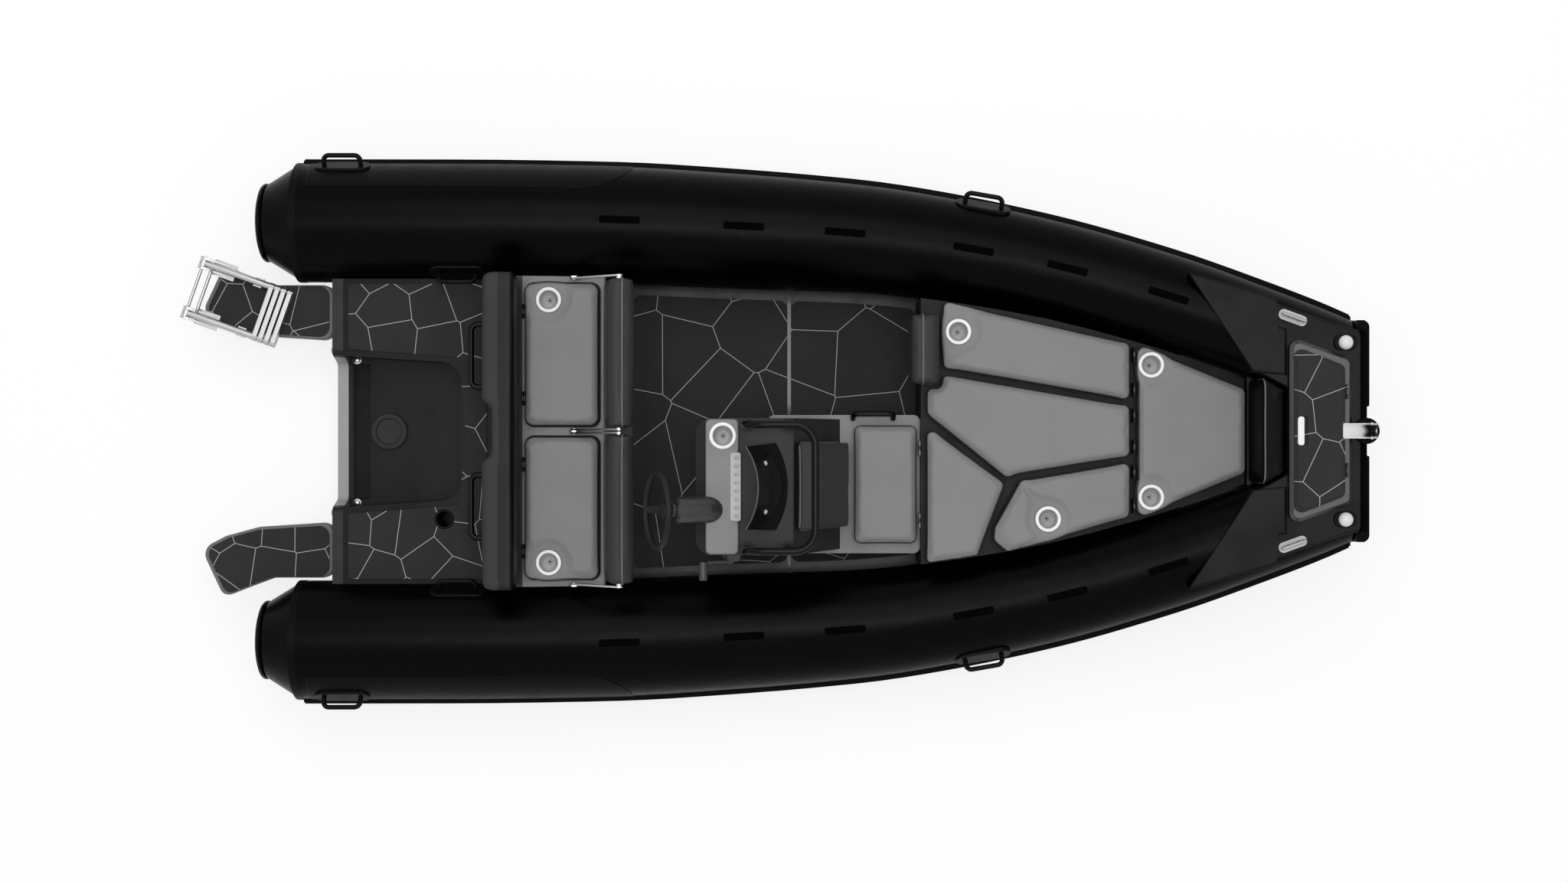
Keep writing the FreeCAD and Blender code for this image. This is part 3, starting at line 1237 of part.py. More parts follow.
def screen_arc(foot_x, half, bow, height):
    """Closed crescent at one height of the curved screen."""
    inner = SCREEN_THICKNESS
    outside = Part.Arc(vec(foot_x - bow, -half, height), vec(foot_x, 0, height),
                       vec(foot_x - bow, half, height)).toShape()
    inside = Part.Arc(vec(foot_x - bow - inner, half, height), vec(foot_x - inner, 0, height),
                      vec(foot_x - bow - inner, -half, height)).toShape()
    ends = [Part.LineSegment(vec(foot_x - bow, side * half, height),
                             vec(foot_x - bow - inner, side * half, height)).toShape() for side in (1, -1)]
    wire = Part.Wire([outside, ends[0], inside, ends[1]])
    wire.translate(vec(0, CONSOLE_CENTRE, 0))
    return wire


def make_screen():
    low = CONSOLE_DASH + SEAT_GAP
    foot = screen_arc(console_x(SCREEN_FOOT_AHEAD), SCREEN_HALF, SCREEN_BOW, low)
    head = screen_arc(console_x(SCREEN_TOP_AHEAD + SCREEN_BOW / 2.0), SCREEN_HALF * SCREEN_TAPER_SHARE,
                      SCREEN_BOW, SCREEN_TOP)
    save("windscreen", Part.makeLoft([foot, head], True, True))
    aft = console_x(RAIL_HOOP_AHEAD) + RAIL_HOOP_RADIUS
    fore = aft + RAIL_HOOP_LENGTH - 2.0 * RAIL_HOOP_RADIUS
    half = RAIL_HOOP_HALF
    centre = CONSOLE_CENTRE
    foot_x = fore - RAIL_HOOP_LEAN
    path = [vec(aft, centre + half, low), vec(aft, centre + half, RAIL_HOOP_TOP),
            vec(fore, centre + half, RAIL_HOOP_TOP), vec(fore, centre - half, RAIL_HOOP_TOP),
            vec(aft, centre - half, RAIL_HOOP_TOP), vec(aft, centre - half, low)]
    hoop = bent_rod(path, RAIL_HOOP_BEND, RAIL_HOOP_RADIUS)
    for side in (half, -half):
        leg = rod(vec(foot_x, centre + side, low), vec(fore - RAIL_HOOP_BEND, centre + side, RAIL_HOOP_TOP),
                  RAIL_HOOP_RADIUS)
        foot = rod(vec(foot_x, centre + side, low), vec(foot_x, centre + side, low + RAIL_HOOP_FOOT_RISE),
                   RAIL_HOOP_FOOT)
        toe = rod(vec(aft, centre + side, low), vec(aft, centre + side, low + RAIL_HOOP_FOOT_RISE),
                  RAIL_HOOP_FOOT)
        hoop = hoop.fuse([leg, foot, toe])
    below = block(CONSOLE_AFT, console_x(CONSOLE_BASE_END), -TUBE_SPREAD, TUBE_SPREAD, 0, low)
    add_to("console_rails", hoop.cut(below))


def make_console_seat():
    low = FLOOR_HEIGHT + SEAT_GAP
    start = console_x(CONSOLE_BASE_START)
    end = console_x(CONSOLE_BASE_END)
    base = plate(console_band(start, end, CONSOLE_BASE_HALF), low, CONSOLE_SEAT_TOP, LOUNGE_WALL)
    seat_start = console_x(CONSOLE_SEAT_AHEAD)
    seat_end = seat_start + CONSOLE_SEAT_LENGTH
    mouth = BENCH_MOUTH_MARGIN
    base = base.cut(plate(console_band(seat_start + mouth - CONSOLE_WALL, seat_end - mouth + CONSOLE_WALL,
                                       CONSOLE_BASE_HALF - CONSOLE_WALL),
                          low + CONSOLE_WALL, CONSOLE_SEAT_TOP - CONSOLE_WALL, CONSOLE_WALL))
    base = base.cut(plate(console_band(seat_start + mouth, seat_end - mouth, CONSOLE_SEAT_HALF - mouth),
                          CONSOLE_SEAT_TOP - OVERRUN, CONSOLE_SEAT_TOP + OVERRUN, mouth))
    save("console_base", base)
    lid_low = CONSOLE_SEAT_TOP + SEAT_GAP
    pad_low = lid_low + LID_THICKNESS + SEAT_GAP
    pad_high = pad_low + CUSHION_THICKNESS
    outline = console_band(seat_start, seat_end, CONSOLE_SEAT_HALF)
    lid = plate(outline, lid_low, lid_low + LID_THICKNESS, LOUNGE_CORNER)
    axis_x = seat_end + MOVE_GAP
    posts = []
    for share in HINGE_PLACE_SHARES:
        at = CONSOLE_CENTRE + (2.0 * share - 1.0) * CONSOLE_SEAT_HALF
        fixed, moving = hinge_blocks(axis_x, pad_high, at, seat_end - SEAM_INSET, lid_low)
        posts.append(fixed)
        lid = lid.fuse(moving)
    save("console_lid", lid)
    cushion = plate(outline, pad_low, pad_high, LOUNGE_CORNER)
    save("console_cushion", soften(cushion, level_edges(pad_high), CUSHION_THICKNESS / 4.0))
    add_to("lid_hinges", Part.makeCompound(posts))
    aft = console_x(BACKREST_AHEAD)
    outline = [(aft, BACKREST_TOP), (aft + BACKREST_DEPTH, BACKREST_TOP),
               (aft + BACKREST_DEPTH + BACKREST_LEAN, BACKREST_FOOT), (aft + BACKREST_LEAN, BACKREST_FOOT)]
    backrest = side_plate(outline, CONSOLE_CENTRE - BACKREST_HALF, CONSOLE_CENTRE + BACKREST_HALF,
                          BACKREST_CORNER)
    add_to("fixed_backrests", backrest)
    aft = console_x(SIDE_RAIL_AHEAD) + SIDE_RAIL_RADIUS
    fore = aft + SIDE_RAIL_LENGTH - 2.0 * SIDE_RAIL_RADIUS
    at = CONSOLE_CENTRE + CONSOLE_BASE_HALF - SIDE_RAIL_RADIUS - SEAM_INSET
    foot = CONSOLE_SEAT_TOP + SEAT_GAP
    out = at + SIDE_RAIL_OUT
    knee = foot + SIDE_RAIL_RISE / 3.0
    high = foot + SIDE_RAIL_RISE
    path = [vec(aft, at, foot), vec(aft, at, knee), vec(aft, out, high), vec(fore, out, high),
            vec(fore, at, knee), vec(fore, at, foot)]
    add_to("console_rails", bent_rod(path, SIDE_RAIL_BEND, SIDE_RAIL_RADIUS))


WHEEL_CENTRE = vec(CONSOLE_AFT + WHEEL_AHEAD, CONSOLE_CENTRE + WHEEL_OFFSET, WHEEL_HEIGHT)
WHEEL_AXIS = vec(-math.cos(math.radians(WHEEL_TILT)), 0, math.sin(math.radians(WHEEL_TILT)))


def make_helm(body, shelf):
    """Helm pod behind the wheel, let into the top of the console."""
    start = WHEEL_DISH + WHEEL_HUB_LENGTH / 2.0 + RUN_GAP
    neck = start + HELM_NECK_LENGTH / 3.0
    end = neck + HELM_LENGTH
    edge = HELM_RADIUS / 6.0
    profile = [(0.0, start), (HELM_NECK_RADIUS, start), (HELM_NECK_RADIUS, neck),
               (HELM_RADIUS - edge, neck), (HELM_RADIUS, neck + edge), (HELM_RADIUS, end)]
    steps = 5
    for step in range(1, steps + 1):
        turn = math.radians(90.0 * step / steps)
        profile.append((HELM_RADIUS * math.cos(turn), end + HELM_NOSE * math.sin(turn)))
    helm = turned(profile, WHEEL_CENTRE, WHEEL_AXIS * -1.0)
    helm = helm.cut(shelf)
    below = block(CONSOLE_AFT + CONSOLE_PANEL, console_x(BACKREST_AHEAD), -TUBE_SPREAD, TUBE_SPREAD, 0,
                  CONSOLE_DASH)
    helm = largest(helm.cut(below))
    save("helm", helm)
    return helm


def make_wheel():
    rim = Part.makeTorus(WHEEL_RADIUS, WHEEL_RIM)
    half = WHEEL_HUB_LENGTH / 2.0
    edge = WHEEL_HUB / 5.0
    profile = [(0.0, -half), (WHEEL_HUB - edge, -half), (WHEEL_HUB, -half + edge),
               (WHEEL_HUB, half - edge), (WHEEL_HUB - edge, half), (0.0, half)]
    hub = turned(profile, vec(0, 0, -WHEEL_DISH), vec(0, 0, 1))
    wheel = rim.fuse(hub)
    thick = WHEEL_SPOKE_THICKNESS
    wide = WHEEL_SPOKE_WIDTH
    outline = [(WHEEL_HUB * 0.5, -WHEEL_DISH), (WHEEL_HUB * 1.5, -WHEEL_DISH), (WHEEL_RADIUS, 0.0),
               (WHEEL_RADIUS, thick), (WHEEL_HUB * 1.4, thick - WHEEL_DISH),
               (WHEEL_HUB * 0.5, thick - WHEEL_DISH)]
    taper = [(0.0, wide * 0.75), (WHEEL_RADIUS, wide * 0.42)]
    plan = plate(both_sides(taper), -WHEEL_RADIUS, WHEEL_RADIUS)
    spoke = side_plate(outline, -wide, wide).common(plan)
    for index in range(WHEEL_SPOKES):
        arm = spoke.copy()
        arm.rotate(vec(0, 0, 0), vec(0, 0, 1), 360.0 * index / WHEEL_SPOKES + 90.0)
        wheel = wheel.fuse(arm)
    turn = FreeCAD.Rotation(vec(0, 1, 0), vec(0, 0, 0), WHEEL_AXIS, "ZYX")
    wheel.Placement = FreeCAD.Placement(WHEEL_CENTRE, turn)
    save("steering_wheel", wheel)


def make_throttle():
    side = CONSOLE_CENTRE - CONSOLE_HALF - SEAT_GAP
    at = vec(console_x(THROTTLE_AHEAD), side, THROTTLE_HEIGHT)
    out = vec(0, -THROTTLE_DEPTH, 0)
    base = Part.makeCone(THROTTLE_BASE, THROTTLE_BASE * 0.75, THROTTLE_DEPTH, at, out)
    turn = math.radians(THROTTLE_LEAN)
    tip = vec(at.x - THROTTLE_ARM * math.sin(turn), 0, at.z + THROTTLE_ARM * math.cos(turn))
    half = THROTTLE_ARM_WIDTH / 2.0
    fore = THROTTLE_ARM + half
    arm = side_plate([(-half, -half), (fore, -half), (fore, half), (-half, half)], 0,
                     THROTTLE_ARM_THICKNESS, half)
    arm.rotate(vec(0, 0, 0), vec(0, 1, 0), -(90.0 + THROTTLE_LEAN))
    arm.translate(vec(at.x, side - THROTTLE_DEPTH - THROTTLE_ARM_THICKNESS + SEAM_INSET, at.z))
    near = vec(tip.x, side - THROTTLE_DEPTH + SEAM_INSET, tip.z)
    knob = rod(near, near - vec(0, THROTTLE_KNOB_LENGTH, 0), THROTTLE_KNOB)
    knob = soften(knob, lambda edge: edge.BoundBox.YLength < RUN_GAP, THROTTLE_KNOB / 3.0)
    save("throttle", base.fuse([arm, knob]).removeSplitter())


# Bow lounge with three lids and their cushions
def lounge_points(shares):
    return scaled(shares, LOUNGE_AFT + LOUNGE_SEAT_AFT, LOUNGE_SEAT_LENGTH, LOUNGE_SEAT_HALF)


def inset(points, margin):
    """Outline drawn in by a margin on every side."""
    places = [vec(*point) for point in points]
    count = len(places)
    area = sum(places[i - 1].x * places[i].y - places[i].x * places[i - 1].y for i in range(count))
    turn = 1.0 if area > 0.0 else -1.0
    lines = []
    for index in range(count):
        start, end = places[index], places[(index + 1) % count]
        along = (end - start).normalize()
        inward = vec(-along.y, along.x) * (turn * margin)
        lines.append((start + inward, along))
    corners = []
    for index in range(count):
        (a, u), (b, v) = lines[index - 1], lines[index]
        cross = u.x * v.y - u.y * v.x
        gap = b - a
        t = (gap.x * v.y - gap.y * v.x) / cross
        corners.append((a.x + u.x * t, a.y + u.y * t))
    return corners


LOUNGE_LIDS = (
    ("port", LOUNGE_PORT_SHARES, (LOUNGE_CUP_SHARES[0],)),
    ("centre", LOUNGE_CENTRE_SHARES, ()),
    ("starboard", LOUNGE_STARBOARD_SHARES, (LOUNGE_CUP_SHARES[1],)),
)


def peak_outline():
    """Outline of the cushion in the bow."""
    aft = LOUNGE_AFT + LOUNGE_PEAK_AFT
    return both_sides([(aft, LOUNGE_PEAK_AFT_HALF), (aft + LOUNGE_PEAK_LENGTH, LOUNGE_PEAK_FORE_HALF)])


def peak_cups():
    return scaled(PEAK_CUP_SHARES, LOUNGE_AFT + LOUNGE_PEAK_AFT, LOUNGE_PEAK_LENGTH, LOUNGE_PEAK_AFT_HALF)


def make_lounge():
    end = LOUNGE_AFT + LOUNGE_LENGTH
    step = LOUNGE_AFT + LOUNGE_STEP
    low = FLOOR_HEIGHT + SEAT_GAP
    high = BOW_FLOOR_HEIGHT + SEAT_GAP
    wall = LOUNGE_WALL
    body = plate(lounge_outline(LOUNGE_AFT, step, -LOUNGE_SIDE_GAP, 5), low, LOUNGE_TOP)
    body = body.fuse(plate(lounge_outline(step - SEAM_INSET, end, -LOUNGE_SIDE_GAP, 3), high, LOUNGE_TOP))
    store = plate(lounge_outline(LOUNGE_AFT + wall, step - wall, -LOUNGE_SIDE_GAP - wall, 4), low + wall,
                  LOUNGE_TOP - wall)
    mouths = [plate(inset(lounge_points(shares), LOUNGE_MOUTH_MARGIN), LOUNGE_TOP - wall - SEAM_INSET,
                    LOUNGE_TOP + OVERRUN, LOUNGE_CORNER) for name, shares, cups in LOUNGE_LIDS]
    wells = [cup_hole(*cup) for cup in peak_cups()]
    rims = [rod(vec(x, y, LOUNGE_TOP - wall - SEAM_INSET), vec(x, y, LOUNGE_TOP + OVERRUN), CUP_FLANGE)
            for x, y in lounge_points(LOUNGE_CUP_SHARES)]
    deep = block(LOUNGE_AFT, end, -TUBE_SPREAD, TUBE_SPREAD, 0, LOUNGE_TOP - CUP_DEPTH / 2.0)
    body = body.cut([store] + mouths + rims + [well.cut(deep) for well in wells])
    save("bow_lounge", body.removeSplitter())
    lid_low = LOUNGE_TOP + SEAT_GAP
    pad_low = lid_low + LID_THICKNESS + SEAT_GAP
    pad_high = pad_low + CUSHION_THICKNESS
    seat_end = LOUNGE_AFT + LOUNGE_SEAT_AFT + LOUNGE_SEAT_LENGTH
    axis_x = seat_end + LOUNGE_HINGE_AHEAD
    between = plate(lounge_outline(LOUNGE_AFT, end, -LOUNGE_SIDE_GAP, LOUNGE_STEPS), 0, HULL_LENGTH)
    posts = []
    for name, shares, cup_shares in LOUNGE_LIDS:
        points = lounge_points(shares)
        cups = lounge_points(cup_shares)
        board = plate(points, lid_low, lid_low + LID_THICKNESS, LOUNGE_CORNER)
        lid = with_cups(board.common(between), cups, lid_low, pad_high + SEAT_GAP)
        front = [y for x, y in points if x > seat_end - RUN_GAP]
        for share in HINGE_PLACE_SHARES:
            at = min(front) + (max(front) - min(front)) * share
            fixed, moving = hinge_blocks(axis_x, pad_high, at, seat_end - SEAM_INSET, lid_low)
            posts.append(fixed)
            lid = lid.fuse(moving)
        save("bow_lid_" + name, lid)
        cushion = plate(points, pad_low, pad_high, LOUNGE_CORNER)
        for cup in cups:
            cushion = cushion.cut(cup_hole(*cup))
        cushion = soften(cushion, level_edges(pad_high), CUSHION_THICKNESS / 5.0)
        save("bow_cushion_" + name, cushion.common(between))
    add_to("lid_hinges", Part.makeCompound(posts))
    fixed = plate(lounge_points(LOUNGE_AFT_SHARES), lid_low, pad_high, LOUNGE_CORNER)
    fixed = soften(fixed, level_edges(pad_high), CUSHION_THICKNESS / 5.0)
    add_to("fixed_cushions", fixed.common(between))
    peak = plate(peak_outline(), lid_low, pad_high, LOUNGE_CORNER)
    peak = peak.cut([cup_hole(*cup) for cup in peak_cups()])
    peak = soften(peak, level_edges(pad_high), CUSHION_THICKNESS / 8.0)
    add_to("fixed_cushions", peak.common(between))
    cups = []
    for x, y in peak_cups():
        wall, bore = cup_bodies(x, y, pad_high + SEAT_GAP, pad_high + SEAT_GAP)
        cups.append(wall.cut(bore))
    save("bow_cups", Part.makeCompound(cups))


def make_bow_backrests():
    low = LOUNGE_TOP - BOLSTER_DEPTH
    front = LOUNGE_AFT - SEAT_GAP
    ledge = LOUNGE_TOP + SEAT_GAP
    fore = BOLSTER_AFT + BOLSTER_DEPTH
    outline = [(BOLSTER_AFT, low), (front, low), (front, ledge), (fore, ledge), (fore, BOLSTER_TOP),
               (BOLSTER_AFT, BOLSTER_TOP)]
    bolster = side_plate(outline, BOLSTER_INNER, BOLSTER_OUTER)
    ends = block(0, HULL_LENGTH, BOLSTER_INNER, BOLSTER_OUTER, 0, HULL_LENGTH)
    bolster = soften(bolster.common(ends), level_edges(BOLSTER_TOP), BOLSTER_DEPTH / 4.0)
    add_to("fixed_backrests", bolster)
    low = BOW_BED_HEIGHT + SEAT_GAP
    fore = BOW_REST_AFT + BOW_REST_DEPTH
    outline = [(BOW_REST_AFT, low), (fore, low), (fore, BOW_REST_TOP),
               (BOW_REST_AFT + BOW_REST_LEAN, BOW_REST_TOP)]
    slope = (BOW_DECK_THROAT_HALF - BOW_DECK_SHOULDER_HALF) / (BOW_DECK_THROAT - BOW_DECK_SHOULDER)
    throat = [(x, BOW_DECK_SHOULDER_HALF - MOVE_GAP + slope * (x - BOW_DECK_SHOULDER))
              for x in (BOW_REST_AFT - OVERRUN, fore + OVERRUN)]
    plan = plate(both_sides(throat), 0, HULL_LENGTH)
    rest = side_plate(outline, -BOW_REST_HALF, BOW_REST_HALF).common(plan)
    rest = clear_of_tubes(rest)
    add_to("fixed_backrests", rest)


# Bow deck, locker hatch, roller, cleats and lamps
def deck_plane(x):
    share = (x - BOW_DECK_AFT) / (NOSE_PLANE - BOW_DECK_AFT)
    return BOW_DECK_LOW + share * (BOW_DECK_HIGH - BOW_DECK_LOW)


def bow_deck_body():
    fore = NOSE_PLANE - SEAT_GAP
    half = [(fore, BOW_DECK_FRONT_HALF), (LAMP_FORWARD, BOW_DECK_FRONT_HALF + BOW_DECK_EDGE),
            (BOW_DECK_AFT, BOW_DECK_TIP_HALF), (BOW_DECK_SHOULDER, BOW_DECK_SHOULDER_HALF),
            (BOW_DECK_THROAT, BOW_DECK_THROAT_HALF)]
    plan = plate(both_sides(half), BOW_BED_HEIGHT + SEAT_GAP, HULL_LENGTH, PAD_CORNER)
    near, far = BOW_DECK_AFT - OVERRUN, fore + OVERRUN
    side = [(near, 0.0), (far, 0.0), (far, deck_plane(far)), (near, deck_plane(near))]
    wedge = side_plate(side, -TUBE_SPREAD, TUBE_SPREAD)
    body = plan.common(wedge)

    def on_top(edge):
        box = edge.BoundBox
        low, high = box.ZMin - deck_plane(box.XMin), box.ZMax - deck_plane(box.XMax)
        return max(abs(low), abs(high)) < SEAT_GAP and box.XLength + box.YLength > RUN_GAP
    body = soften(body, on_top, BOW_DECK_ROUND)
    body = clear_of_tubes(body.cut(anchor_locker(0)))
    return largest(body)


def hatch_outline(margin):
    aft = PLINTH_AFT + HATCH_AFT_GAP
    points = both_sides([(aft, HATCH_AFT_HALF), (aft + HATCH_LENGTH, HATCH_FORE_HALF)])
    return inset(points, margin) if margin else points


def make_bow_deck():
    body = bow_deck_body()
    save("bow_deck", body)
    fore = PLINTH_AFT + PLINTH_LENGTH
    outline = both_sides([(PLINTH_AFT, PLINTH_AFT_HALF), (fore, PLINTH_FORE_HALF)])
    low = deck_plane(PLINTH_AFT) - SEAM_INSET
    plinth = plate(outline, low, PLINTH_TOP, PLINTH_CORNER)
    rim = level_edges(PLINTH_TOP)
    plinth = plinth.makeChamfer(PLINTH_BEVEL, [edge for edge in plinth.Edges if rim(edge)])
    wedge = [(BOW_DECK_AFT, 0.0), (NOSE_PLANE, 0.0), (NOSE_PLANE, deck_plane(NOSE_PLANE) + SEAT_GAP),
             (BOW_DECK_AFT, deck_plane(BOW_DECK_AFT) + SEAT_GAP)]
    below = side_plate(wedge, -TUBE_SPREAD, TUBE_SPREAD)
    save("hatch_plinth", plinth.cut([below, anchor_locker(0)]))
    make_hatch()
    make_roller()
    make_bow_fittings(body)


def make_hatch():
    low = PLINTH_TOP + SEAT_GAP
    top = low + HATCH_PLATE
    aft = PLINTH_AFT + HATCH_AFT_GAP
    fore = aft + HATCH_LENGTH
    lid = plate(hatch_outline(0.0), low, top, HATCH_CORNER)
    lid = lid.fuse(plate(hatch_outline(HATCH_PAD_MARGIN), top, top + HATCH_PAD, HATCH_CORNER))
    axis = (fore + MOVE_GAP, top + HATCH_PAD)
    notch = block(ROLLER_CHANNEL_AFT - MOVE_GAP, fore + OVERRUN, -ROLLER_CHANNEL_HALF - MOVE_GAP,
                  ROLLER_CHANNEL_HALF + MOVE_GAP, low - OVERRUN, HULL_LENGTH)
    latch_aft = aft + LATCH_DEPTH
    pocket = plate(both_sides([(latch_aft, LATCH_HALF), (latch_aft + LATCH_LENGTH, LATCH_HALF)]),
                   top + HATCH_PAD - LATCH_DEPTH, HULL_LENGTH, LATCH_LENGTH / 4.0)
    lid = lid.cut([notch, pocket])
    posts = []
    for side in (-1.0, 1.0):
        fixed, moving = hinge_blocks(axis[0], axis[1], side * HATCH_FORE_HALF * 0.6, fore - SEAM_INSET, low)
        posts.append(fixed)
        lid = lid.fuse(moving)
    save("anchor_hatch", lid)
    add_to("lid_hinges", Part.makeCompound(posts))
    paddle_low = top + HATCH_PAD - LATCH_DEPTH + SEAT_GAP
    paddle = plate(both_sides([(latch_aft + SEAT_GAP, LATCH_HALF - SEAT_GAP),
                               (latch_aft + LATCH_LENGTH * 0.66, LATCH_HALF - SEAT_GAP)]),
                   paddle_low, top + HATCH_PAD, LATCH_LENGTH / 4.0)
    save("hatch_latch", soften(paddle, level_edges(top + HATCH_PAD), LATCH_DEPTH / 4.0))


def make_roller():
    low = PLINTH_TOP + SEAT_GAP
    half = ROLLER_CHANNEL_HALF
    wall = ROLLER_CHANNEL_WALL
    fore = ROLLER_CHANNEL_AFT + ROLLER_CHANNEL_LENGTH
    axis_x = ROLLER_CHANNEL_AFT + ROLLER_AHEAD
    axis_z = low + wall + ROLLER_RADIUS + MOVE_GAP / 2.0
    side = [(ROLLER_CHANNEL_AFT, low), (fore, low), (fore, axis_z + ROLLER_PIN * 2.0),
            (axis_x - ROLLER_RADIUS, axis_z + ROLLER_PIN * 2.0), (ROLLER_CHANNEL_AFT, low + wall * 3.0)]
    channel = side_plate(side, -half, half)
    hollow = block(ROLLER_CHANNEL_AFT - OVERRUN, fore + OVERRUN, wall - half, half - wall, low + wall,
                   HULL_LENGTH)
    channel = channel.cut(hollow)
    pin = rod(vec(axis_x, -half - wall, axis_z), vec(axis_x, half + wall, axis_z), ROLLER_PIN)
    save("roller_channel", channel.fuse(pin).removeSplitter())
    wide = ROLLER_HALF
    bore, crown, middle = ROLLER_PIN + RUN_GAP, ROLLER_RADIUS - wall, ROLLER_RADIUS * ROLLER_MIDDLE_SHARE
    flank, groove, waist = [wide * share for share in ROLLER_GROOVE_SHARES]
    profile = [(bore, -wide), (crown, -wide), (ROLLER_RADIUS, -flank), (middle, -groove),
               (ROLLER_WAIST, -waist), (ROLLER_WAIST, waist), (middle, groove),
               (ROLLER_RADIUS, flank), (crown, wide), (bore, wide)]
    save("bow_roller", turned(profile, vec(axis_x, 0, axis_z), vec(0, 1, 0)))


def make_bow_fittings(deck):
    base_low = deck_plane(CLEAT_FORWARD) - OVERRUN
    top = deck_plane(CLEAT_FORWARD) + CLEAT_LENGTH * 0.1 + CLEAT_PLATE
    long = CLEAT_LENGTH / 2.0
    wide = CLEAT_WIDTH / 2.0
    outline = [(-long, -wide), (long, -wide), (long, wide), (-long, wide)]
    base = plate(outline, base_low, top, wide)
    horn_z = top + CLEAT_RISE
    horn = rod(vec(-long * 0.9, 0, horn_z), vec(long * 0.9, 0, horn_z), CLEAT_HORN_RADIUS)
    horn = soften(horn, lambda edge: edge.BoundBox.XLength < RUN_GAP, CLEAT_HORN_RADIUS * 0.8)
    for place in (-0.36, 0.36):
        stem = rod(vec(place * long, 0, base_low), vec(place * long, 0, horn_z), CLEAT_HORN_RADIUS)
        horn = horn.fuse(stem)
    cleat = base.fuse(horn).removeSplitter()
    cleat.rotate(vec(0, 0, 0), vec(0, 0, 1), -CLEAT_TURN)
    cleat.translate(vec(CLEAT_FORWARD, CLEAT_OFFSET, 0))
    add_to("deck_fittings", pair(max(cleat.cut(deck).Solids, key=lambda solid: solid.BoundBox.ZMax)))
    low = deck_plane(LAMP_FORWARD) - OVERRUN
    top = deck_plane(LAMP_FORWARD) + LAMP_BASE_RISE
    long = LAMP_BASE_LENGTH / 2.0
    wide = LAMP_BASE_WIDTH / 2.0
    outline = [(-long, -wide), (long, -wide), (long, wide), (-long, wide)]
    base = plate(outline, low, top, wide * 0.9)
    base = soften(base, level_edges(top), LAMP_BASE_RISE / 3.0)
    dome = Part.makeSphere(LAMP_RADIUS, vec(0, 0, top), vec(0, 0, 1), 0, 90, 360)
    lamp = base.fuse(dome).removeSplitter()
    lamp.translate(vec(LAMP_FORWARD, LAMP_OFFSET, 0))
    save("bow_lamps", pair(max(lamp.cut(deck).Solids, key=lambda solid: solid.BoundBox.ZMax)))
    middle = BOW_TUBE_HEIGHT
    width = NOSE_HALF_WIDTH
    outline = [(-width, middle - NOSE_HALF_HEIGHT), (width, middle - NOSE_HALF_HEIGHT),
               (width, middle + NOSE_HALF_HEIGHT), (-width, middle + NOSE_HALF_HEIGHT)]
    face = Part.Face(rounded_wire(outline, NOSE_CORNER))
    face.Placement = FreeCAD.Placement(vec(NOSE_PLANE + SEAT_GAP, 0, 0), ACROSS_BOAT)
    nose = face.extrude(vec(NOSE_THICKNESS, 0, 0))
    front = deck_plane(NOSE_PLANE)
    crown = block(NOSE_PLANE + SEAT_GAP, NOSE_PLANE + SEAT_GAP + NOSE_THICKNESS, -BOW_DECK_FRONT_HALF,
                  BOW_DECK_FRONT_HALF, middle, front)
    save("nose_plate", nose.fuse(crown).removeSplitter())
    start = NOSE_PLANE + NOSE_THICKNESS + 2.0 * SEAT_GAP
    profile = [(start + out * FENDER_DEPTH, middle + up * FENDER_HALF_HEIGHT)
               for out, up in FENDER_PROFILE_SHARES]
    fender = side_plate(profile, -NOSE_HALF_WIDTH, NOSE_HALF_WIDTH)
    notch = plate(both_sides([(start + FENDER_DEPTH - FENDER_NOTCH_DEPTH, FENDER_NOTCH_HALF),
                              (start + FENDER_DEPTH + OVERRUN, FENDER_NOTCH_HALF + FENDER_NOTCH_DEPTH)]),
                  0, HULL_LENGTH)
    ends = both_sides([(start - OVERRUN, NOSE_HALF_WIDTH), (start + FENDER_DEPTH, NOSE_HALF_WIDTH)])
    corner = plate(ends, 0, HULL_LENGTH, FENDER_NOTCH_DEPTH)
    save("bow_fender", fender.common(corner).cut(notch))


def eye_lug(centre, root_a, root_b):
    """Flat lug with a drilled eye, in the plane of X and Z."""
    half = EYE_THICKNESS / 2.0
    ring = rod(vec(centre.x, -half, centre.z), vec(centre.x, half, centre.z), EYE_RADIUS)
    away = (root_b - root_a).normalize() * EYE_RADIUS
    web = side_plate([(root_a.x, root_a.z), (root_b.x, root_b.z), ((centre + away).x, (centre + away).z),
                      ((centre - away).x, (centre - away).z)], -half, half)
    bore = rod(vec(centre.x, -OVERRUN, centre.z), vec(centre.x, OVERRUN, centre.z), EYE_BORE)
    return ring.fuse(web).removeSplitter().cut(bore)


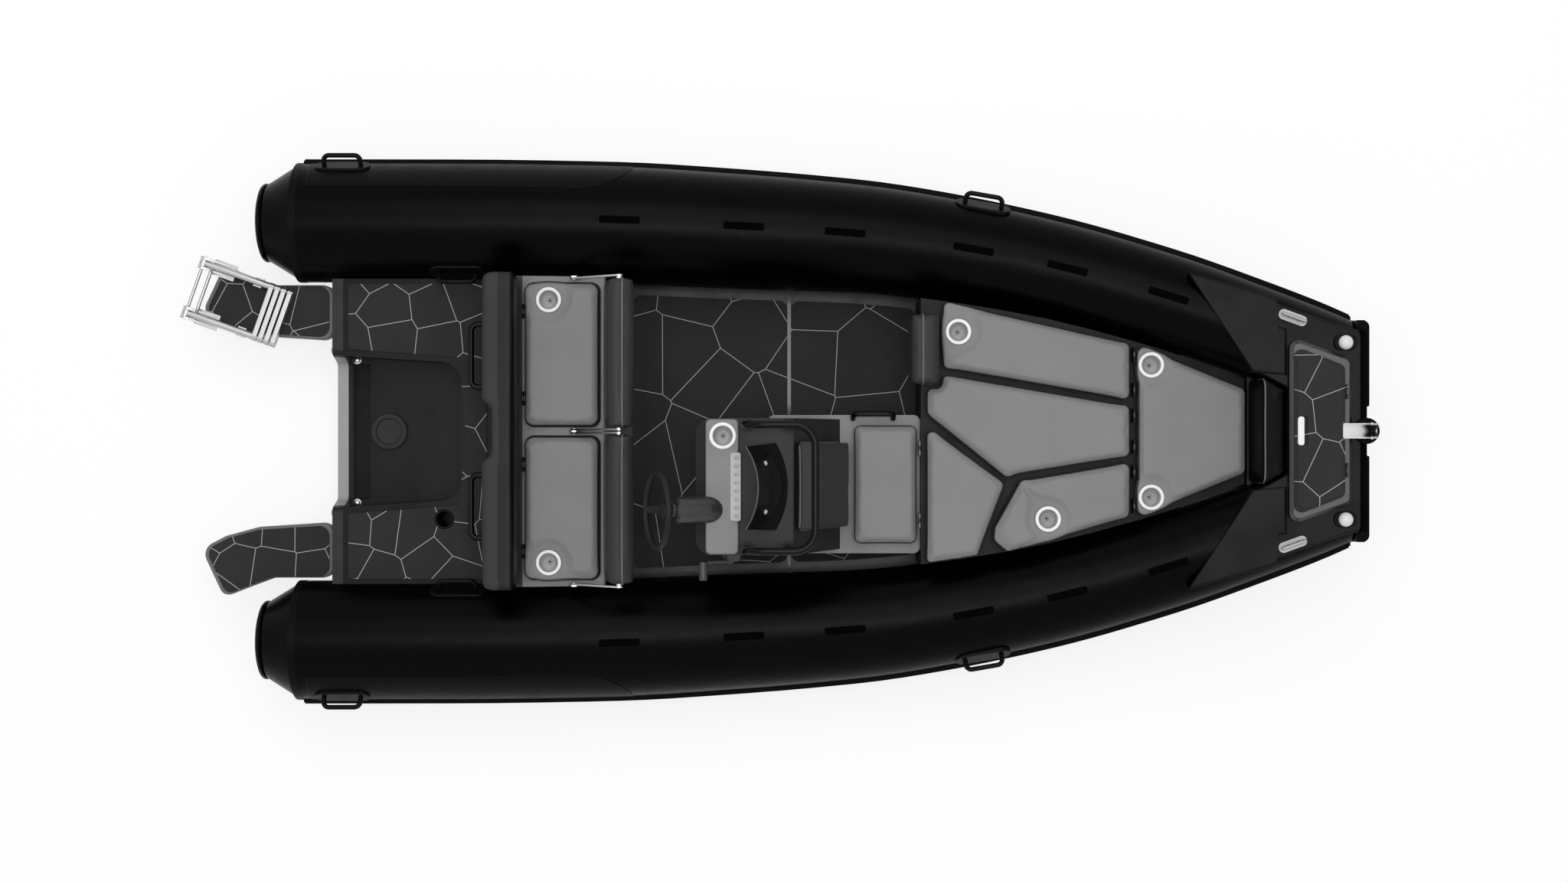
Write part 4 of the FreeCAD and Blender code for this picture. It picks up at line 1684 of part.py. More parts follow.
def make_eyes():
    centre = vec(-EYE_STAND, 0, EYE_HEIGHT)
    stern = eye_lug(centre, vec(-SEAT_GAP, 0, EYE_HEIGHT - EYE_FOOT),
                    vec(-SEAT_GAP, 0, EYE_HEIGHT + EYE_FOOT))
    behind = block(-SEAT_GAP, OVERRUN, -OVERRUN, OVERRUN, 0, HULL_LENGTH)
    stern = stern.cut(behind)
    stern.rotate(centre, vec(1, 0, 0), 90.0)
    stern.translate(vec(0, EYE_OFFSET, 0))
    place = STEM_EYE_FORWARD / HULL_LENGTH
    keel = smooth_at(HULL_SHARES, place, 1) * KEEL_DEPTH
    centre = vec(STEM_EYE_FORWARD, 0, keel - STEM_EYE_DROP)
    back = (place * HULL_LENGTH - EYE_FOOT * 2.0) / HULL_LENGTH
    ahead = (place * HULL_LENGTH + EYE_FOOT * 2.0) / HULL_LENGTH
    root_a = vec(back * HULL_LENGTH, 0, smooth_at(HULL_SHARES, back, 1) * KEEL_DEPTH + EYE_THICKNESS)
    root_b = vec(ahead * HULL_LENGTH, 0, smooth_at(HULL_SHARES, ahead, 1) * KEEL_DEPTH + EYE_THICKNESS)
    stem = eye_lug(centre, root_a, root_b)
    stem = largest(stem.cut(HULL_FORM))
    add_to("deck_fittings", Part.makeCompound([pair(stern), stem]))


make_collar()
make_rub_rails()
make_collar_fittings()
make_hull()
make_aft_deck()
make_coaming()
make_platforms()
make_ladder()
make_bench()
make_flip_backrests()
make_floor_pads()
make_console()
make_wheel()
make_lounge()
make_bow_backrests()
make_bow_deck()
make_eyes()
for shared_node, shapes in SHARED_NODES.items():
    save(shared_node, Part.makeCompound(shapes))
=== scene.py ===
"""Dresses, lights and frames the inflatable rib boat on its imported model.

Everything is in metres in the model's own frame: X runs forward, Y to port and Z up from the water.
Finishes come first, then the numpy surfaces, then one class for each part of the boat.
"""
import logging
import math
from dataclasses import dataclass
from enum import Enum

import bmesh
import bpy
import numpy as np
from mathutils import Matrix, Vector


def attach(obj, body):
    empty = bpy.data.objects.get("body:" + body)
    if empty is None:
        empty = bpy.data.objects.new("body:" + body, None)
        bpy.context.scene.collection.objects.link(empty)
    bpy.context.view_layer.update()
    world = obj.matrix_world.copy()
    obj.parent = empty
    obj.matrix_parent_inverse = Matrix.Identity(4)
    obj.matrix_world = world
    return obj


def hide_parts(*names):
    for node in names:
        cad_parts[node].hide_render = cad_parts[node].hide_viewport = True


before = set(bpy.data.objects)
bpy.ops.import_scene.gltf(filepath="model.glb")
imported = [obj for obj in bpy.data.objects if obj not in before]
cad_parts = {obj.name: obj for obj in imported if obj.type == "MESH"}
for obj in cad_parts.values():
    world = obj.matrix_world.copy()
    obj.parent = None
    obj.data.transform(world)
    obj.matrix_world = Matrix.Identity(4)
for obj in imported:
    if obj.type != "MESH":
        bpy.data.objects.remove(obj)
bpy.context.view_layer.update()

LOG = logging.getLogger("rib_boat")
Triple = tuple[float, float, float]
Colour = tuple[float, float, float, float]

WHITE: Colour = (1.0, 1.0, 1.0, 1.0)
DISPLAY_WHITE = 255.0
DISPLAY_CURVE = 2.2
SOFT_DETAIL = 3.0  # Finer layers on clouds, grain and creases
BRUSH_DETAIL = 4.0  # Finer layers on brush strokes and scratches
NOISE_SHARE = 0.55  # How much of each finer layer shows
CELL_RANDOM = 0.9  # How far the middles of cells stray
HALF_EDGE = 0.001  # Half the width of the edge between two paints
DOUBLES = 1e-6  # Points nearer than this are one point
STRIP_POINTS = 20  # Points round a strip
DOME_POINTS = 9  # Points from the top of a dome to its rim
SKY = 3.0  # A height above the whole boat
MISSED = SKY - 0.001  # A dropped point that is still above this height met nothing


class Facing(Enum):
    """Way that the outer face of a strip or a cord turns."""

    FORWARD = (1.0, 0.0, 0.0)
    UP = (0.0, 0.0, 1.0)


class Side(Enum):
    """Side of the boat, as the sign of Y."""

    PORT = 1.0
    STARBOARD = -1.0

    @property
    def label(self) -> str:
        """The side as it stands in the names of nodes and pieces."""
        return self.name.lower()


def tone(level: float) -> Colour:
    """Turns a display grey into linear colour.

    The display curve is undone: the level over the display's white, raised to the curve's power.

    Args:
        level: Grey as it shows on a display, 0 to 255.

    Returns:
        Linear red, green, blue and one for alpha.
    """
    grey = (level / DISPLAY_WHITE) ** DISPLAY_CURVE
    return (grey, grey, grey, 1.0)


class Wire:
    """A shader socket that takes part in sums; each operator adds its Math node."""

    def __init__(self, shader: "Net", socket: bpy.types.NodeSocket) -> None:
        """Keeps the socket and the net of nodes that it belongs to."""
        self.shader = shader
        self.socket = socket

    def __add__(self, other: "Wire | float") -> "Wire":
        """Sum."""
        return self.shader.math("ADD", self, other)

    def __radd__(self, other: float) -> "Wire":
        """Sum with the number first."""
        return self.shader.math("ADD", other, self)

    def __sub__(self, other: "Wire | float") -> "Wire":
        """Difference."""
        return self.shader.math("SUBTRACT", self, other)

    def __rsub__(self, other: float) -> "Wire":
        """Difference with the number first."""
        return self.shader.math("SUBTRACT", other, self)

    def __mul__(self, other: "Wire | float") -> "Wire":
        """Product."""
        return self.shader.math("MULTIPLY", self, other)

    def __rmul__(self, other: float) -> "Wire":
        """Product with the number first."""
        return self.shader.math("MULTIPLY", other, self)

    def either(self, other: "Wire") -> "Wire":
        """Greater of two values."""
        return self.shader.math("MAXIMUM", self, other)

    def rise(self, low: float, high: float) -> "Wire":
        """Smooth step from 0 at low to 1 at high.

        Args:
            low: Value at which the step starts.
            high: Value at which it ends.

        Returns:
            The stepped value.
        """
        node = self.shader.node("ShaderNodeMapRange", {"interpolation_type": "SMOOTHSTEP"},
                                {"Value": self, "From Min": low, "From Max": high})
        return Wire(self.shader, node.outputs["Result"])

    def past(self, edge: float) -> "Wire":
        """Sharp step from 0 to 1 at an edge between two paints."""
        return self.rise(edge - HALF_EDGE, edge + HALF_EDGE)


class Net:
    """The nodes of a material or of the world while they are being made."""

    def __init__(self, tree: bpy.types.NodeTree) -> None:
        """Keeps the tree of nodes."""
        self.tree = tree

    def feed(self, socket: bpy.types.NodeSocket, value: object) -> None:
        """Links a wire to a socket, or sets the socket's own value.

        Args:
            socket: The socket.
            value: A wire, or a constant value.
        """
        if isinstance(value, Wire):
            self.tree.links.new(value.socket, socket)
        else:
            socket.default_value = value

    def node(self, kind: str, settings: dict, values: dict) -> bpy.types.Node:
        """Adds a node.

        Args:
            kind: The node's type.
            settings: Its own settings, which are set first.
            values: Values or wires for its sockets, by name or by number.

        Returns:
            The node.
        """
        made = self.tree.nodes.new(kind)
        for key, setting in settings.items():
            setattr(made, key, setting)
        for key, value in values.items():
            self.feed(made.inputs[key], value)
        return made

    def math(self, operation: str, left: "Wire | float", right: "Wire | float") -> Wire:
        """One Math node on two values."""
        made = self.node("ShaderNodeMath", {"operation": operation}, {0: left, 1: right})
        return Wire(self, made.outputs[0])

    def plain_rays(self) -> Wire:
        """Tells which rays show the surroundings.

        Returns:
            1 for rays from the camera, from gloss and through glass, 0 for those that light things.
        """
        rays = self.node("ShaderNodeLightPath", {}, {})
        camera, gloss, glass = (Wire(self, rays.outputs[name]) for name in
                                ("Is Camera Ray", "Is Glossy Ray", "Is Transmission Ray"))
        return camera.either(gloss).either(glass)

    def shared(self, share: Wire, low: Wire, high: Wire, end: str) -> None:
        """Mixes two shaders by a share and gives the result to the net's output node.

        Args:
            share: 0 for the first shader, 1 for the second.
            low: First shader.
            high: Second shader.
            end: Name of the output node.
        """
        both = self.node("ShaderNodeMixShader", {}, {"Fac": share, 1: low, 2: high})
        self.feed(self.tree.nodes[end].inputs["Surface"], Wire(self, both.outputs[0]))


class Shader(Net):
    """A node material while it is being made."""

    def __init__(self, name: str) -> None:
        """Starts a material with one Principled shader.

        Args:
            name: The material's name.
        """
        self.material = bpy.data.materials.new(name)
        self.material.use_nodes = True
        super().__init__(self.material.node_tree)
        self.skin = self.tree.nodes["Principled BSDF"]
        self.place = Wire(self, self.node("ShaderNodeTexCoord", {}, {}).outputs["Object"])

    def stretched(self, stretch: Triple) -> Wire:
        """The place on the boat, stretched along the axes."""
        made = self.node("ShaderNodeMapping", {}, {"Vector": self.place, "Scale": stretch})
        return Wire(self, made.outputs[0])

    def along(self, axis: str) -> Wire:
        """One coordinate of the place on the boat."""
        apart = self.node("ShaderNodeSeparateXYZ", {}, {"Vector": self.place})
        return Wire(self, apart.outputs[axis])

    def noise(self, scale: float, detail: float = 2.0, place: "Wire | None" = None) -> Wire:
        """Soft noise between 0 and 1.

        Args:
            scale: Waves in a metre.
            detail: Finer layers on top.
            place: Where it is read; the place on the boat if none.

        Returns:
            The noise.
        """
        made = self.node("ShaderNodeTexNoise", {}, {"Vector": place or self.place, "Scale": scale,
                                                    "Detail": detail, "Roughness": NOISE_SHARE})
        return Wire(self, made.outputs["Fac"])

    def cells(self, scale: float, feature: str, sides: str = "3D", place: "Wire | None" = None) -> Wire:
        """Distance in a pattern of cells.

        Args:
            scale: Cells in a metre.
            feature: F1 for the distance to the middle, DISTANCE_TO_EDGE for that to the border.
            sides: 2D to read X and Y alone.
            place: Where it is read; the place on the boat if none.

        Returns:
            The distance, in cells.
        """
        made = self.node("ShaderNodeTexVoronoi", {"feature": feature, "voronoi_dimensions": sides},
                         {"Vector": place or self.place, "Scale": scale, "Randomness": CELL_RANDOM})
        return Wire(self, made.outputs["Distance"])

    def bands(self, scale: float, direction: str) -> Wire:
        """Even sine bands, used for woven and ribbed skins.

        Args:
            scale: How close the bands lie.
            direction: X, Y or DIAGONAL.

        Returns:
            The bands, 0 to 1.
        """
        made = self.node("ShaderNodeTexWave", {"wave_type": "BANDS", "bands_direction": direction},
                         {"Vector": self.place, "Scale": scale})
        return Wire(self, made.outputs["Fac"])

    def blend(self, share: Wire, low: "tuple | Wire", high: "tuple | Wire") -> Wire:
        """Mixes two colours by a share."""
        made = self.node("ShaderNodeMix", {"data_type": "RGBA"}, {"Factor": share, 6: low, 7: high})
        return Wire(self, made.outputs[2])

    def raised(self, height: Wire, depth: float) -> None:
        """Bumps the surface, depth metres between heights 0 and 1."""
        made = self.node("ShaderNodeBump", {}, {"Height": height, "Distance": depth, "Strength": 1.0})
        self.feed(self.skin.inputs["Normal"], Wire(self, made.outputs["Normal"]))

    def done(self, **values: object) -> bpy.types.Material:
        """Sets the shader's sockets.

        Args:
            values: Values or wires by the socket's name, with _ for a space.

        Returns:
            The material.
        """
        for key, value in values.items():
            self.feed(self.skin.inputs[key.replace("_", " ")], value)
        return self.material


@dataclass(frozen=True)
class Patches:
    """Soft patches of wear.

    They have a number of waves in a metre, finer layers, the noise at their rim and where they are
    full, and a strength.
    """

    scale: float
    detail: float
    rim: float
    full: float
    strength: float

    def mask(self, shader: Shader, place: "Wire | None" = None) -> Wire:
        """0 outside the patches and 1 within them."""
        return shader.noise(self.scale, self.detail, place).rise(self.rim, self.full)


@dataclass(frozen=True)
class Finish:
    """A surface finish: a grey, how rough it is, how far it wanders, its gloss, and clouds in a metre."""

    name: str
    slot: str
    level: float
    rough: float = 0.5
    wander: float = 0.12
    gloss: float = 0.5
    clouds: float = 4.0

    def shades(self, shader: Shader) -> Wire:
        """Base colour that wanders a little about the grey, in soft clouds."""
        low, high = (tone(self.level * (1.0 + turn * self.wander)) for turn in (-1.0, 1.0))
        return shader.blend(shader.noise(self.clouds, SOFT_DETAIL), low, high)

    def paint(self, shader: Shader) -> bpy.types.Material:
        """Sets up the shader; each kind of finish has its own."""
        raise NotImplementedError

    def material(self) -> bpy.types.Material:
        """The finish's one material, made when it is first asked for."""
        return bpy.data.materials.get(self.name) or self.paint(Shader(self.name))


@dataclass(frozen=True)
class CoatedFabric(Finish):
    """Rubber-coated fabric of the tubes: a satin skin with a fine weave under it."""

    clouds: float = 3.0
    weave: float = 260.0
    depth: float = 0.00005
    scuffs: Patches = Patches(9.0, 5.0, 0.35, 0.75, 0.06)

    def paint(self, shader: Shader) -> bpy.types.Material:
        """Two crossed sets of bands for the weave, and soft scuffs in the gloss.

        Args:
            shader: The material while it is being made.

        Returns:
            The material.
        """
        crossed = shader.bands(self.weave, "X") * shader.bands(self.weave, "Y")
        shader.raised(crossed + shader.noise(self.weave * 2.0), self.depth)
        dulled = self.scuffs.mask(shader) * self.scuffs.strength
        return shader.done(Base_Color=self.shades(shader), Roughness=self.rough + dulled,
                           Specular_IOR_Level=self.gloss)


@dataclass(frozen=True)
class Webbing(Finish):
    """Woven strap: ribs across it and a slight sheen."""

    clouds: float = 30.0
    ribs: float = 330.0
    depth: float = 0.0006

    def paint(self, shader: Shader) -> bpy.types.Material:
        """Diagonal ribs crossed both ways make a herringbone.

        Args:
            shader: The material while it is being made.

        Returns:
            The material.
        """
        shader.raised(shader.bands(self.ribs, "DIAGONAL") + shader.bands(self.ribs, "Y"), self.depth)
        return shader.done(Base_Color=self.shades(shader), Roughness=self.rough,
                           Specular_IOR_Level=self.gloss)


@dataclass(frozen=True)
class Rubber(Finish):
    """Extruded rubber: matt, finely grained, with paler scuffs where it rubs."""

    scuff: float = 34.0
    grain: float = 900.0
    depth: float = 0.00006
    streaks: Patches = Patches(40.0, 6.0, 0.58, 0.82, 0.15)
    streak_stretch: Triple = (0.18, 1.0, 1.0)

    def paint(self, shader: Shader) -> bpy.types.Material:
        """Scuffs are long streaks along the boat.

        Args:
            shader: The material while it is being made.

        Returns:
            The material.
        """
        rubbed = self.streaks.mask(shader, shader.stretched(self.streak_stretch))
        shader.raised(shader.noise(self.grain, SOFT_DETAIL), self.depth)
        return shader.done(Base_Color=shader.blend(rubbed, tone(self.level), tone(self.scuff)),
                           Roughness=self.rough + rubbed * self.streaks.strength,
                           Specular_IOR_Level=self.gloss)


@dataclass(frozen=True)
class Paint(Finish):
    """Sprayed or moulded shell: orange peel, a clear coat and faint dust."""

    clouds: float = 2.2
    coat: float = 0.35
    coat_rough: float = 0.18
    peel: float = 0.0004
    peel_scales: tuple[float, float] = (140.0, 700.0)
    fine_share: float = 0.3
    dust: Patches = Patches(5.0, 6.0, 0.42, 0.8, 0.14)

    def paint(self, shader: Shader) -> bpy.types.Material:
        """Dust dulls the gloss in soft patches.

        Args:
            shader: The material while it is being made.

        Returns:
            The material.
        """
        wide, fine = self.peel_scales
        shader.raised(shader.noise(wide, 1.0) + shader.noise(fine) * self.fine_share, self.peel)
        dulled = self.dust.mask(shader) * self.dust.strength
        return shader.done(Base_Color=self.skin(shader), Roughness=self.rough + dulled,
                           Specular_IOR_Level=self.gloss, Coat_Weight=self.coat,
                           Coat_Roughness=self.coat_rough)

    def skin(self, shader: Shader) -> Wire:
        """Colour of the sprayed skin."""
        return self.shades(shader)


@dataclass(frozen=True)
class PaintWithShade(Paint):
    """Shell paint that turns dark above one height, such as the transom's top, with painted shade between
    walls, such as inside the cockpit under the tubes.
    """

    dark_and_shade: float = 24.0
    above: tuple[float, float] = (0.360, 0.100)
    span: tuple[float, float] = (0.05, 3.95)
    half: float = 0.725
    narrowing: tuple[float, float] = (0.225, 1.2875)

    def skin(self, shader: Shader) -> Wire:
        """Dark above the first height, and painted shade above the second between the walls of the cockpit.

        The walls lie at half the width, and ahead of that where the distance from the middle plus
        the first number of the narrowing times X is the second.

        Args:
            shader: The material while it is being made.

        Returns:
            The colour.
        """
        along, across, up = (shader.along(axis) for axis in "XYZ")
        across = across.either(0.0 - across)
        pinched = across + along * self.narrowing[0]
        within = up.past(self.above[1]) * along.past(self.span[0])
        for distance, wall in ((along, self.span[1]), (across, self.half), (pinched, self.narrowing[1])):
            within = within * (1.0 - distance.past(wall))
        return shader.blend(up.past(self.above[0]).either(within), self.shades(shader), tone(self.dark_and_shade))


@dataclass(frozen=True)
class Moulded(Finish):
    """Moulded plastic with a fine leathery grain."""

    clouds: float = 8.0
    grain: float = 620.0
    depth: float = 0.00014
    ripple: float = 90.0
    ripple_share: float = 0.4
    wear: Patches = Patches(14.0, 5.0, 0.5, 0.8, 0.12)

    def paint(self, shader: Shader) -> bpy.types.Material:
        """The grain is the distance to the middle of small cells.

        Args:
            shader: The material while it is being made.

        Returns:
            The material.
        """
        grain = shader.cells(self.grain, "F1")
        shader.raised(grain + shader.noise(self.ripple) * self.ripple_share, self.depth)
        dulled = self.wear.mask(shader) * self.wear.strength
        return shader.done(Base_Color=self.shades(shader), Roughness=self.rough + dulled,
                           Specular_IOR_Level=self.gloss)


@dataclass(frozen=True)
class FoamSheet(Finish):
    """Cut foam sheet: dark skin, brushed, with pale lines cut through it in straight-sided cells."""

    line: float = 165.0
    cell: float = 3.3
    fine: float = 5.6
    fine_ends: float = 0.80
    width: float = 0.0036
    line_edges: tuple[float, float] = (0.42, 0.62)
    groove: float = 0.0016
    relief: float = 0.002
    brush: float = 420.0
    brush_stretch: Triple = (0.12, 1.0, 1.0)
    brush_share: float = 0.10
    dark_range: tuple[float, float] = (0.93, 1.09)
    worn: Patches = Patches(2.6, 4.0, 0.35, 0.75, 0.6)
    shift: Triple = (0.0, 0.0, 0.0)

    def paint(self, shader: Shader) -> bpy.types.Material:
        """The line is where the distance to a cell's border, in metres, is under half the width.

        Args:
            shader: The material while it is being made.

        Returns:
            The material.
        """
        made = shader.node("ShaderNodeMapping", {}, {"Vector": shader.place, "Location": self.shift})
        moved = Wire(shader, made.outputs[0])
        small, large = (shader.cells(scale, "DISTANCE_TO_EDGE", "2D", moved) * (1.0 / scale)
                        for scale in (self.fine, self.cell))
        ahead = shader.along("X").past(self.fine_ends)
        border = small * (1.0 - ahead) + large * ahead
        skin = border.rise(*(self.width * edge for edge in self.line_edges))
        brushed = shader.noise(self.brush, BRUSH_DETAIL, shader.stretched(self.brush_stretch))
        shade = self.worn.mask(shader) * self.worn.strength + brushed * (1.0 - self.worn.strength)
        dark = shader.blend(shade, *(tone(self.level * share) for share in self.dark_range))
        shader.raised(skin * (self.groove / self.relief) + brushed * self.brush_share, self.relief)
        return shader.done(Base_Color=shader.blend(skin, tone(self.line), dark),
                           Roughness=self.rough + brushed * self.brush_share, Specular_IOR_Level=self.gloss)


@dataclass(frozen=True)
class Vinyl(Finish):
    """Marine upholstery vinyl: pebbled grain, soft creases and a low sheen."""

    grain: float = 330.0
    grain_shares: tuple[float, float] = (0.8, 0.5)
    warp: float = 1.7
    crease: float = 7.0
    crease_share: float = 1.6
    depth: float = 0.00024
    polish: Patches = Patches(3.5, 4.0, 0.35, 0.75, 0.08)

    def paint(self, shader: Shader) -> bpy.types.Material:
        """Pebbles are cells warped by noise; wide soft creases lie under them.

        Args:
            shader: The material while it is being made.

        Returns:
            The material.
        """
        cells, warped = self.grain_shares
        pebble = shader.cells(self.grain, "F1") * cells + shader.noise(self.grain * self.warp) * warped
        shader.raised(pebble + shader.noise(self.crease, SOFT_DETAIL) * self.crease_share, self.depth)
        shone = self.polish.mask(shader) * self.polish.strength
        return shader.done(Base_Color=self.cover(shader), Roughness=self.rough - shone,
                           Specular_IOR_Level=self.gloss)

    def cover(self, shader: Shader) -> Wire:
        """Colour of the cover."""
        return self.shades(shader)


@dataclass(frozen=True)
class ShadedFaceVinyl(Vinyl):
    """Vinyl with painted shade: its own grey on the top, a darker painted shade on the slope and nearly black
    painted shade on the face.
    """

    slope_shade: float = 27.0
    slope_from: float = 0.814
    face: float = 10.0
    face_from: float = 0.863

    def cover(self, shader: Shader) -> Wire:
        """Each band of painted shade starts along a straight line across the boat.

        Args:
            shader: The material while it is being made.

        Returns:
            The colour.
        """
        colour = self.shades(shader)
        # Painted shade: past each line across the boat the colour turns to a darker grey.
        for seam, level in ((self.slope_from, self.slope_shade), (self.face_from, self.face)):
            colour = shader.blend(shader.along("X").past(seam), colour, tone(level))
        return colour


@dataclass(frozen=True)
class Steel(Finish):
    """Polished or brushed metal with fine scratches."""

    clouds: float = 12.0
    stretch: Triple = (1.0, 0.1, 1.0)
    scratch: float = 520.0
    scratch_share: float = 0.08
    depth: float = 0.00012
    marks: Patches = Patches(24.0, 6.0, 0.55, 0.8, 0.1)

    def paint(self, shader: Shader) -> bpy.types.Material:
        """Scratches are noise drawn out along one axis; water marks dull it a little.

        Args:
            shader: The material while it is being made.

        Returns:
            The material.
        """
        lines = shader.noise(self.scratch, BRUSH_DETAIL, shader.stretched(self.stretch))
        shader.raised(lines, self.depth)
        dulled = lines * self.scratch_share + self.marks.mask(shader) * self.marks.strength
        return shader.done(Base_Color=self.shades(shader), Metallic=1.0, Roughness=self.rough + dulled)


@dataclass(frozen=True)
class Glass(Finish):
    """Tinted screen."""

    clouds: float = 6.0
    alpha: float = 0.8
    film: Patches = Patches(18.0, 6.0, 0.5, 0.9, 0.12)
    film_alpha: float = 0.05

    def paint(self, shader: Shader) -> bpy.types.Material:
        """Clear apart from a faint film of salt.

        Args:
            shader: The material while it is being made.

        Returns:
            The material.
        """
        salt = self.film.mask(shader)
        return shader.done(Base_Color=self.shades(shader), Roughness=self.rough + salt * self.film.strength,
                           Alpha=self.alpha + salt * self.film_alpha, Specular_IOR_Level=self.gloss)


TUBE = CoatedFabric("tube_fabric_black", "tube_fabric", 7.0, 0.25, gloss=0.048)
TAPE = CoatedFabric("seam_tape_black", "tube_fabric", 12.0, 0.4, gloss=0.06, weave=340.0)
STRAP = Webbing("strap_webbing_black", "tube_fabric", 8.0, 0.8, gloss=0.03)
BUMPER = Rubber("bumper_rubber_black", "rubber_black", 9.0, 0.52, gloss=0.06, scuff=22.0)
# Painted shade: the dark inside colour paints the shade of the tubes on the hull inside the cockpit; it also
# darkens the transom's top.
HULL = PaintWithShade("hull_paint_grey", "hull_paint", 150.0, 0.36, coat=0.05, gloss=0.25, dark_and_shade=16.0)
PLATFORM = Paint("platform_paint_grey", "hull_paint", 105.0, 0.40, coat=0.05, gloss=0.2)
DARK_DECK = Paint("deck_shell_dark", "moulding_black", 21.0, 0.48, coat=0.02, gloss=0.12)
SHELL = Paint("seat_shell_grey", "moulding_grey", 115.0, 0.34, coat=0.05, gloss=0.3)
# Painted shade: the bench shell is dark above 0.1 m aft of X 0.8865 m, where the gap behind the coaming lies
# in shade.
BENCH_SHELL = PaintWithShade("bench_shell_grey", "moulding_grey", 120.0, 0.34, coat=0.05, gloss=0.3,
                           dark_and_shade=12.0, above=(9.0, 0.1), span=(0.0, 0.8865), half=9.0,
                           narrowing=(0.0, 9.0))
# Painted shade: the lids under the cushions are dark so that the gaps round each cushion show as shadow.
SHADE_GAP_SHELL = Paint("seat_shell_painted_shade", "moulding_grey", 24.0, 0.45, coat=0.02, gloss=0.12)
BLACK_SHELL = Paint("bow_shell_black", "moulding_black", 14.0, 0.4, coat=0.02, gloss=0.10)
NOSE_SHELL = Paint("nose_shell_black", "moulding_black", 6.0, 0.5, coat=0.0, gloss=0.02)
CONSOLE_SHELL = Paint("console_shell_black", "moulding_black", 40.0, 0.42, coat=0.03, gloss=0.15)
HELM_PLASTIC = Moulded("helm_plastic_black", "moulding_black", 50.0, 0.3, gloss=0.45)
GRIP_PLASTIC = Moulded("handle_plastic_black", "plastic_black", 9.0, 0.42, gloss=0.10)
HATCH_PLASTIC = Moulded("hatch_plastic_dark", "plastic_black", 44.0, 0.5, gloss=0.15)
PALE_PLASTIC = Moulded("switch_plastic_pale", "plastic_white", 175.0, 0.36, wander=0.03)
LATCH_PLASTIC = Moulded("latch_plastic_white", "plastic_white", 240.0, 0.3, wander=0.02)
RING = Moulded("cup_ring_white", "plastic_white", 240.0, 0.3, wander=0.02)
LINER = Moulded("cup_liner_grey", "moulding_grey", 160.0, 0.42, wander=0.05)
PAD = FoamSheet("foam_sheet_deck", "pad_grey", 50.0, 0.72, gloss=0.1)
HATCH_PAD = FoamSheet("foam_sheet_hatch", "pad_grey", 53.0, 0.70, gloss=0.1, cell=5.0, fine_ends=0.0,
                      shift=(0.13, 0.02, 0.0))
VINYL = Vinyl("cushion_vinyl_grey", "vinyl_grey", 127.0, 0.5, wander=0.035, gloss=0.25)
# The piping is dark partly as its own colour and partly as painted shade of the gap round each cushion.
CORD = Vinyl("piping_vinyl_dark", "vinyl_dark", 34.0, 0.46, wander=0.04, gloss=0.15)
DARK_VINYL = Vinyl("backrest_vinyl_dark", "vinyl_dark", 52.0, 0.46, wander=0.06, gloss=0.16)
# Painted shade: the coaming's slope and its forward face are darkened along the boat.
COAMING_VINYL = ShadedFaceVinyl("coaming_vinyl_dark", "vinyl_dark", 48.0, 0.46, wander=0.06, gloss=0.16)
BLACK_VINYL = Vinyl("bow_rest_vinyl_black", "vinyl_dark", 10.0, 0.5, wander=0.06, gloss=0.08)
PALE_CORD = Vinyl("backrest_piping_grey", "vinyl_grey", 110.0, 0.42, wander=0.04, gloss=0.2)
POLISHED = Steel("stainless_polished", "stainless", 200.0, 0.24, wander=0.03)
LADDER_STEEL = Steel("ladder_steel", "stainless", 172.0, 0.32, wander=0.05)
SATIN = Steel("fitting_satin", "stainless", 150.0, 0.42, wander=0.05)
BRUSHED = Steel("plinth_brushed", "anodised", 80.0, 0.30, wander=0.04)
BLACK_METAL = Steel("rail_black", "moulding_black", 34.0, 0.3, wander=0.05)
SCREEN = Glass("screen_smoked", "screen", 30.0, 0.14, alpha=0.94, gloss=0.2)
LENS = Moulded("lamp_lens_white", "plastic_white", 222.0, 0.12, wander=0.01)
WHEEL_GRIP = Moulded("wheel_grip_black", "wheel_skin", 30.0, 0.5, grain=420.0, gloss=0.2)
HINGE = Steel("hinge_dark", "stainless", 70.0, 0.4, wander=0.05)

